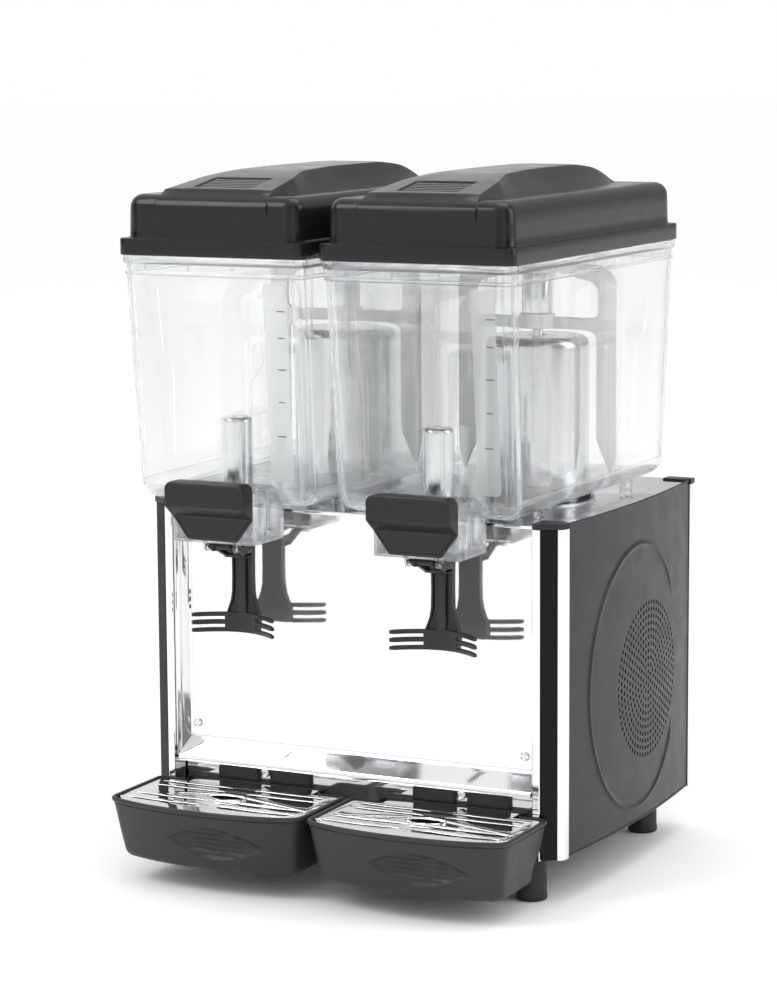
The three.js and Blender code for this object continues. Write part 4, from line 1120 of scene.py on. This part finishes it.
# ------------------------------------------------------------------ drum, shaft, stirrer, plunger
def cold_parts():
    for side, ux in UNITS:
        prof = [(48, 337.3), (48, 474)] + arc_prof(39, 474, 9, 0, 90, 8)[1:] + [(10.4, 483.0), (9.0, 482.4), (9.0, 480.6), (38, 480.6)] + arc_prof(38, 473, 7.6, 90, 0, 6) + [(45.6, 337.3)]
        lathe("vis_cooling_drum_%s" % side, prof, ux, AXIS_Y, "satin_steel", "cabinet", ("cooling_drum_%s" % side,), n=112, closed_profile=True, angle=40)
        prof = [(48.4, 337.4), (50.2, 337.4), (50.4, 338.4), (50.2, 340.4), (50.5, 342.0), (50.1, 343.4), (48.8, 344.4), (48.4, 344.0)]
        lathe("vis_bowl_seal_%s" % side, prof, ux, AXIS_Y, "rubber_black", "cabinet", ("bowl_seal_%s" % side,), n=96, closed_profile=True, angle=50)
        prof = [(0, 333.8), (4.6, 333.8), (5, 334.2), (5, 555), (4.4, 556.6), (3, 558), (0, 558)]
        lathe("vis_drive_shaft_%s" % side, prof, ux, AXIS_Y, "satin_steel", "drive_%s" % side, ("drive_shaft_%s" % side,), n=32)
        prof = [(5.6, 503.3), (12.6, 503.3), (13, 503.7), (13, 575.4), (12.4, 576.6), (11.4, 577), (0, 577), (0, 565), (5.6, 565)]
        lathe("vis_stirrer_tube_%s" % side, prof, ux, AXIS_Y, "satin_steel", "stirrer_%s" % side, ("stirrer_tube_%s" % side,), n=64)
        prof = [(0, 298), (3.8, 298), (4.2, 298.4), (4.2, 315.2), (8.0, 315.2), (8.4, 315.6), (8.4, 319.6), (4.2, 322), (4.2, 350), (12.8, 351.6), (13.8, 352.8), (13.8, 417.0)] + arc_prof(10.2, 417.4, 3.6, 0, 80, 5) + [(9.0, 421), (0, 421)]
        lathe("vis_tap_plunger_%s" % side, prof, ux, -19.2, "satin_steel", "plunger_%s" % side, ("tap_plunger_%s" % side,), n=56)
        prof = [(0, 246), (27, 246), (30, 247), (31, 249), (31, 322), (32, 323.4), (36.4, 324), (37, 324.8), (37, 332.4), (36.4, 332.8), (12, 333.2), (0, 333.2)]
        lathe("vis_stir_motor_%s" % side, prof, ux, AXIS_Y, "motor_metal", "cabinet", ("stir_motor_%s" % side,), n=56)
        # stirrer frame
        R = 80.0
        half = [(R, 536), (R, 376), (75.5, 356), (73, 356), (59.3, 388), (59.3, 486)]
        pts = [(0, 556), (50, 549), (66, 548)] + half + [(46, 489), (-46, 489)] + [(-x, z) for x, z in reversed(half)] + [(-66, 548), (-50, 549)]
        rad = [0, 8, 10, 14, 8, 1.5, 1.5, 6, 8, 8, 8, 8, 6, 1.5, 1.5, 8, 14, 10, 8]
        outer = fillet(pts, rad, 5)
        holes = []
        for f in (1, -1):
            h = [(15.5, 500), (57, 500), (61, 503.5), (61, 527), (55, 533), (15.5, 541.5)]
            if f < 0:
                h = [(-x, z) for x, z in reversed(h)]
            holes.append(fillet(h, [2, 4, 4, 7, 6, 3] if f > 0 else [3, 6, 7, 4, 4, 2], 4))
        bm = bmesh.new()
        add_plate(bm, outer, holes, 4.0, 1.2, 3, to=lambda u, v, w: (u, AXIS_Y - 2.0 + w, v))
        add_lathe(bm, [(5.8, 489.3), (15.6, 489.3), (16.5, 490.2), (16.5, 502.4), (16.0, 503.0), (5.8, 503.0)], 0, AXIS_Y, 48, True)
        add_lathe(bm, [(13.6, 541), (16.8, 541), (17.5, 541.8), (17.5, 554.2), (16.8, 555), (13.6, 555)], 0, AXIS_Y, 48, True)
        for v in bm.verts:
            v.co.x += ux
        finish(bm, "vis_stirrer_%s" % side, "white_plastic", "stirrer_%s" % side, ("stirrer_%s" % side,), angle=40)


# ------------------------------------------------------------------ tap: cover and lever
def taps():
    for side, ux in UNITS:
        # cover, flat first, then bent to the front profile
        pts = [(-24.7, 314.6), (24.7, 314.6), (40.5, 335.3), (40.3, 345.8), (40.2, 368.2), (-40.2, 368.2), (-40.3, 345.8), (-40.5, 335.3)]
        rad = [3, 3, 2, 2, 7, 7, 2, 2]
        base = fillet(pts, rad, 4)

        def inset(d):
            out = []
            N = len(base)
            for i in range(N):
                p0, p, p1 = Vector(base[i - 1]), Vector(base[i]), Vector(base[(i + 1) % N])
                t = (p1 - p0).normalized()
                nrm = Vector((-t.y, t.x))
                out.append(p + nrm * d)
            return out

        def face_y(z):
            return piecewise(z, [312, 317, 334.4, 336.0, 345.0, 346.6, 364, 368.2], [-66.4, -66.9, -66.2, -67.4, -80.0, -81.0, -81.0, -79.8])

        bm = bmesh.new()
        prof = [(0.3, "back", 0), (0.0, "back", 0.3), (0.0, "front", 0.9), (0.25, "front", 0.3), (0.9, "front", 0.0), (1.9, "front", 0.0), (2.5, "front", 0.5), (2.9, "front", 0.9)]
        rings = []
        for d, w, o in prof:
            ring = []
            for p in inset(d):
                y = -64.4 - o if w == "back" else face_y(p.y) + o
                ring.append((p.x, y, p.y))
            rings.append(ring)
        vr = add_loft(bm, rings, cap0=True, cap1=True)
        for z in (334.4, 336.0, 345.0, 346.6):
            bmesh.ops.bisect_plane(bm, geom=bm.verts[:] + bm.edges[:] + bm.faces[:], plane_co=(0, 0, z), plane_no=(0, 0, 1))
        for v in bm.verts:
            x, y, z = v.co
            if y < -65 and abs(y - face_y(z)) > 0.02 and any(abs(z - q) < 0.01 for q in (334.4, 336.0, 345.0, 346.6)):
                steps = [0.0, 0.3, 0.5, 0.9]
                d = y - face_y(z)
                v.co.y = face_y(z) + min(steps, key=lambda s_: abs(s_ - d))
        for v in bm.verts:
            v.co.x += ux
        finish(bm, "vis_tap_cover_%s" % side, "black_satin", "bowl_%s" % side, ("tap_cover_%s" % side,), angle=26, weighted=False)

        lever(side, ux)


def lever(side, ux):
    bm = bmesh.new()
    # arm: ribbed section swept up from the comb to the fork
    secs = [(224.5, 15.5, -15.0, 0.0), (232, 16.5, -14.6, 0.2), (240, 16.6, -14.2, 0.5), (245, 14.6, -14.0, 0.8), (252, 12.0, -14.0, 1.0), (260, 10.6, -14.0, 1.0), (275, 10.2, -14.0, 1.0), (290, 10.3, -14.0, 1.0), (297, 10.5, -13.6, 0.8), (301.5, 10.5, -12.2, 0.2), (303, 10.2, -11.4, 0.0)]
    rings = []
    for z, w, yf, g in secs:
        gd = 1.7 * g
        rb = 1.6 * g
        ring = [(-w + 0.6, -6.0), (w - 0.6, -6.0), (w, -6.6), (w, yf + 0.7), (w - 0.7, yf), (w - 2.2, yf), (w - 2.9, yf + gd), (5.4, yf + gd), (4.6, yf - rb + 0.5), (4.0, yf - rb), (-4.0, yf - rb), (-4.6, yf - rb + 0.5), (-5.4, yf + gd), (-w + 2.9, yf + gd), (-w + 2.2, yf), (-w + 0.7, yf), (-w, yf + 0.7), (-w, -6.6)]
        rings.append([(x, y, z) for x, y in ring])
    add_loft(bm, rings)

    # comb: three curved fingers on each side, joined at the middle
    def cy(x):
        return -15.5 - 18.5 * (x / 40.6) ** 2

    def bar(x0, x1, z0, z1, n=12):
        rings = []
        e = 0.6
        for i in range(n + 1):
            x = lerp(x0, x1, i / n)
            t = Vector((1, (cy(x + 0.1) - cy(x - 0.1)) / 0.2)).normalized()
            nx, ny = -t.y, t.x
            sh = 0.0
            for end, xe in ((0, x0), (n, x1)):
                if abs(x - xe) < 0.01 and abs(xe) > 20:
                    sh = 0.5
            sec = [(0, z0 + e + sh), (e, z0 + sh), (3.0 - e, z0 + sh), (3.0, z0 + e + sh), (3.0, z1 - e - sh), (3.0 - e, z1 - sh), (e, z1 - sh), (0, z1 - e - sh)]
            rings.append([(x + nx * d, cy(x) + ny * d, z) for d, z in sec])
        add_loft(bm, rings)

    Z0, Z1 = 223.2, 241.5
    g = (Z1 - Z0) / 5
    bar(-15.6, 15.6, Z0, Z1)
    for k in (0, 2, 4):
        a, b = Z0 + g * k - (0.35 if k else 0), Z0 + g * (k + 1) + (0.35 if k < 4 else 0)
        bar(15.0, 40.6, a, b, 8)
        bar(-40.6, -15.0, a, b, 8)
    for s in (-1, 1):
        o = fillet([(-52, 304), (-50, 302.5), (-44, 302.5), (-26, 294), (-8, 294), (-8, 303), (-26, 303), (-44, 310.3), (-50, 310.3), (-52, 308.5)], 1.2, 3)
        add_plate(bm, o, [], 3.8, 0.6, 2, to=lambda u, v, w: (s * (6.6 + w), u, v))
    o = fillet([(-27, 293.6), (-10, 293.6), (-10, 297.4), (-27, 297.4)], 1.0, 3)
    add_plate(bm, o, [], 20.8, 0.6, 2, to=lambda u, v, w: (-10.4 + w, u, v))
    b2 = bmesh.new()
    add_lathe(b2, [(0, -16.4), (2.2, -16.4), (2.7, -15.9), (2.7, 15.9), (2.2, 16.4), (0, 16.4)], 0, 0, 24)
    for v in b2.verts:
        X, Y, Z = v.co
        v.co = (Z, -48 + X, 307 + Y)
    me = bpy.data.meshes.new("t")
    b2.to_mesh(me)
    b2.free()
    bm.from_mesh(me)
    bpy.data.meshes.remove(me)
    for v in bm.verts:
        v.co.x += ux
    finish(bm, "vis_tap_lever_%s" % side, "black_satin", "lever_%s" % side, ("tap_lever_%s" % side,), angle=34)


# ------------------------------------------------------------------ trays and grids
def tray_outline(n_front=72):
    H = 97.5
    F = -108.6
    pts = []
    rear = [(-66, 16), (-69, 13), (-69, 2), (-72, -1), (-H + 3, -1), (-H, -4)]
    rear = fillet([(-69, 16), (-69, -1), (-H, -1), (-H, -30)], [3, 4, 5, 0], 4)
    # start at the rear middle and run anticlockwise seen from above
    left = fillet([(0, 16), (-69, 16), (-69, -1), (-H, -1), (-H, -60)], [0, 3, 4, 5, 0], 4)
    left = left[1:-1]
    side = [(-H, lerp(-10, -78, k / 6)) for k in range(7)]
    corner = []
    for k in range(1, 9):
        a = pi + (pi / 2 - 0.22) * k / 8
        corner.append((-H + 13 + 13 * math.cos(a), -82 + 13.5 * math.sin(a)))
    front = []
    xa, ya = corner[-1]
    xb = -xa
    for k in range(1, n_front):
        x = lerp(xa, xb, k / n_front)
        u = x / xb
        front.append((x, F + (ya - F) * (u * u * (0.8 + 0.2 * u * u))))
    mir = lambda ps: [(-x, y) for x, y in reversed(ps)]
    return left + side + corner + front + mir(corner) + mir(side) + mir(left)


def trays():
    H = 97.5
    outl = tray_outline()
    N = len(outl)
    rows_out = []     # z, kx, kf, dy, out offset
    key = [(22, 0.12, 0.86, 20), (26, 0.092, 0.9, 18.5), (40, 0.07, 0.93, 16.2), (52, 0.05, 0.95, 4), (73, 0.018, 0.985, 0.6), (78, 0.004, 0.997, 0.2)]

    def interp(z):
        return [piecewise(z, [k[0] for k in key], [k[i] for k in key]) for i in (1, 2, 3)]

    def grip(x, z):
        u = (x - 17.0) / 47.0
        if abs(u) >= 1:
            return 0.0
        zc = 48.5 - 1.5 * u
        h = 14.5 * (1 - abs(u) ** 1.9)
        if h < 0.2:
            return 0.0
        v = (z - zc) / h
        if abs(v) >= 1:
            return 0.0
        dep = 5.0 * (1 - v * v) ** 0.6 * (1 - u * u) ** 0.5
        rid = 0.55 * math.cos((z - zc) / 4.6 * 2 * pi) * sstep((1 - abs(v)) / 0.3) * sstep((0.72 - abs(u)) / 0.2)
        return max(0.0, dep - rid)

    def swell(x, z):
        # lower part of the front stands slightly proud under a shallow arch
        arch = 22 + 40 * (1 - (abs(x) / 84.0) ** 2.2)
        return 0.8 * sstep((arch - z) / 2.0) if abs(x) < 84 else 0.0

    def ring(z, off, inner=False):
        kx, kf, dy = interp(z)
        out = []
        for (x, y) in outl:
            X = x * (1 - kx)
            if y > -20:
                Y = y - dy * (1 if y > -2 else max(0.0, (y + 20) / 18))
            else:
                Y = -1 + (y + 1) * kf if False else y * kf
            p = Vector((X, Y))
            c = Vector((0, -50))
            # outward normal, roughly from a rounded box
            cx, cyy = max(-70, min(70, X)), max(-70, min(-10, Y))
            nrm = Vector((X - cx, Y - cyy))
            if nrm.length < 1e-6:
                nrm = Vector((0, -1))
            nrm.normalize()
            p = p + nrm * off
            if not inner and Y < -70:
                p.y += grip(X, z) - swell(X, z) * (1 if z < 66 else 0)
            out.append((p.x, max(p.y, -108.55), z))
        return out

    for side, ux in UNITS:
        bm = bmesh.new()
        rings = []
        rings.append([(x * 0.5, (y + 50) * 0.5 - 50, z) for x, y, z in ring(22.0, -3.0)])
        rings.append(ring(22.0, -3.0))
        rings.append(ring(22.3, -1.2))
        rings.append(ring(23.4, -0.3))
        z = 25.0
        while z < 70.0:
            rings.append(ring(z, 0))
            z += 1.15 if 32 < z < 65 else 2.2
        rings.append(ring(71.2, 0))
        rings.append(ring(72.2, 0.2))
        for a in range(0, 9):
            w = math.radians(-70 + 160 * a / 8)
            rings.append(ring(75.1 + 2.6 * math.sin(w) + 0.3, -1.2 + 2.6 * math.cos(w)))
        rings.append(ring(78.0, -2.2))
        rings.append(ring(77.6, -3.0, True))
        rings.append(ring(73.6, -3.2, True))
        rings.append(ring(72.0, -4.4, True))
        rings.append(ring(70.0, -4.6, True))
        for zz in (60, 50, 40, 32, 28):
            rings.append(ring(zz, -8.0 if zz > 27 else -6.0, True))
        rings.append(ring(25.2, -11.0, True))
        rings.append([(x * 0.5, (y + 50) * 0.5 - 50, zz) for x, y, zz in ring(25.0, -12.0, True)])
        add_loft(bm, rings)
        for x0, x1 in ((-44, -3), (10, 51)):
            o = fillet([(x0, 70), (x1, 70), (x1, 90), (x0, 90)], [0, 0, 3.0, 3.0], 4)
            add_plate(bm, o, [], 3.2, 0.7, 2, to=lambda u, v, w: (u, 16.4 + w, v))
        for v in bm.verts:
            v.co.x += ux
        finish(bm, "vis_drip_tray_%s" % side, "tray_black", "tray_%s" % side, ("drip_tray_%s" % side,), angle=38)

        # polished grid: long bowed slots, middle oval, and a rolled edge
        H2 = 92.9
        o = [(-64, 11.6), (-64, -5.4), (-H2, -5.4), (-H2, -80), (-H2 + 8, -90)]
        for i in range(0, 13):
            x = lerp(-H2 + 10, H2 - 10, i / 12)
            o.append((x, -103.6 + 12.9 * (x / (H2 - 10)) ** 2))
        o += [(H2 - 8, -90), (H2, -80), (H2, -5.4), (64, -5.4), (64, 11.6)]
        outer = fillet(o, 1.6, 3)
        holes = []

        def slot(x0, x1, y, b=4.0, w=1.9):
            m_ = (x0 + x1) / 2
            up, dn = [], []
            K = 12
            for i in range(K + 1):
                t = i / K
                x = lerp(x0, x1, t)
                c = y - b * (1 - ((x - m_) / ((x1 - x0) / 2)) ** 2)
                ww = w * math.sqrt(max(0.03, 1 - abs(2 * t - 1) ** 6))
                up.append((x, c + ww))
                dn.append((x, c - ww))
            holes.append(up + list(reversed(dn)))

        for y, b in ((-15, 1.4), (-30, 1.8), (-63, 2.8), (-79, 3.8)):
            slot(-85, -11, y, b, 2.3)
            slot(11, 85, y, b, 2.3)
        holes.append([(15.5 * math.cos(2 * pi * i / 40), -47 + 7.0 * math.sin(2 * pi * i / 40)) for i in range(40)])
        bm = bmesh.new()
        add_plate(bm, outer, holes, 1.8, 0.5, 2, to=lambda u, v, w: (u, v, 75.1 + w))
        add_tube(bm, [(19.5 * math.cos(2 * pi * i / 48), -47 + 10.4 * math.sin(2 * pi * i / 48), 76.6) for i in range(48)], 0.7, 8, True)
        for v in bm.verts:
            v.co.x += ux
        finish(bm, "vis_drip_grid_%s" % side, "mirror_steel", "grid_%s" % side, ("drip_grid_%s" % side,), angle=40)


camera()
studio()
cabinet()
bowls()
level_marks()
lids()
cold_parts()
taps()
trays()
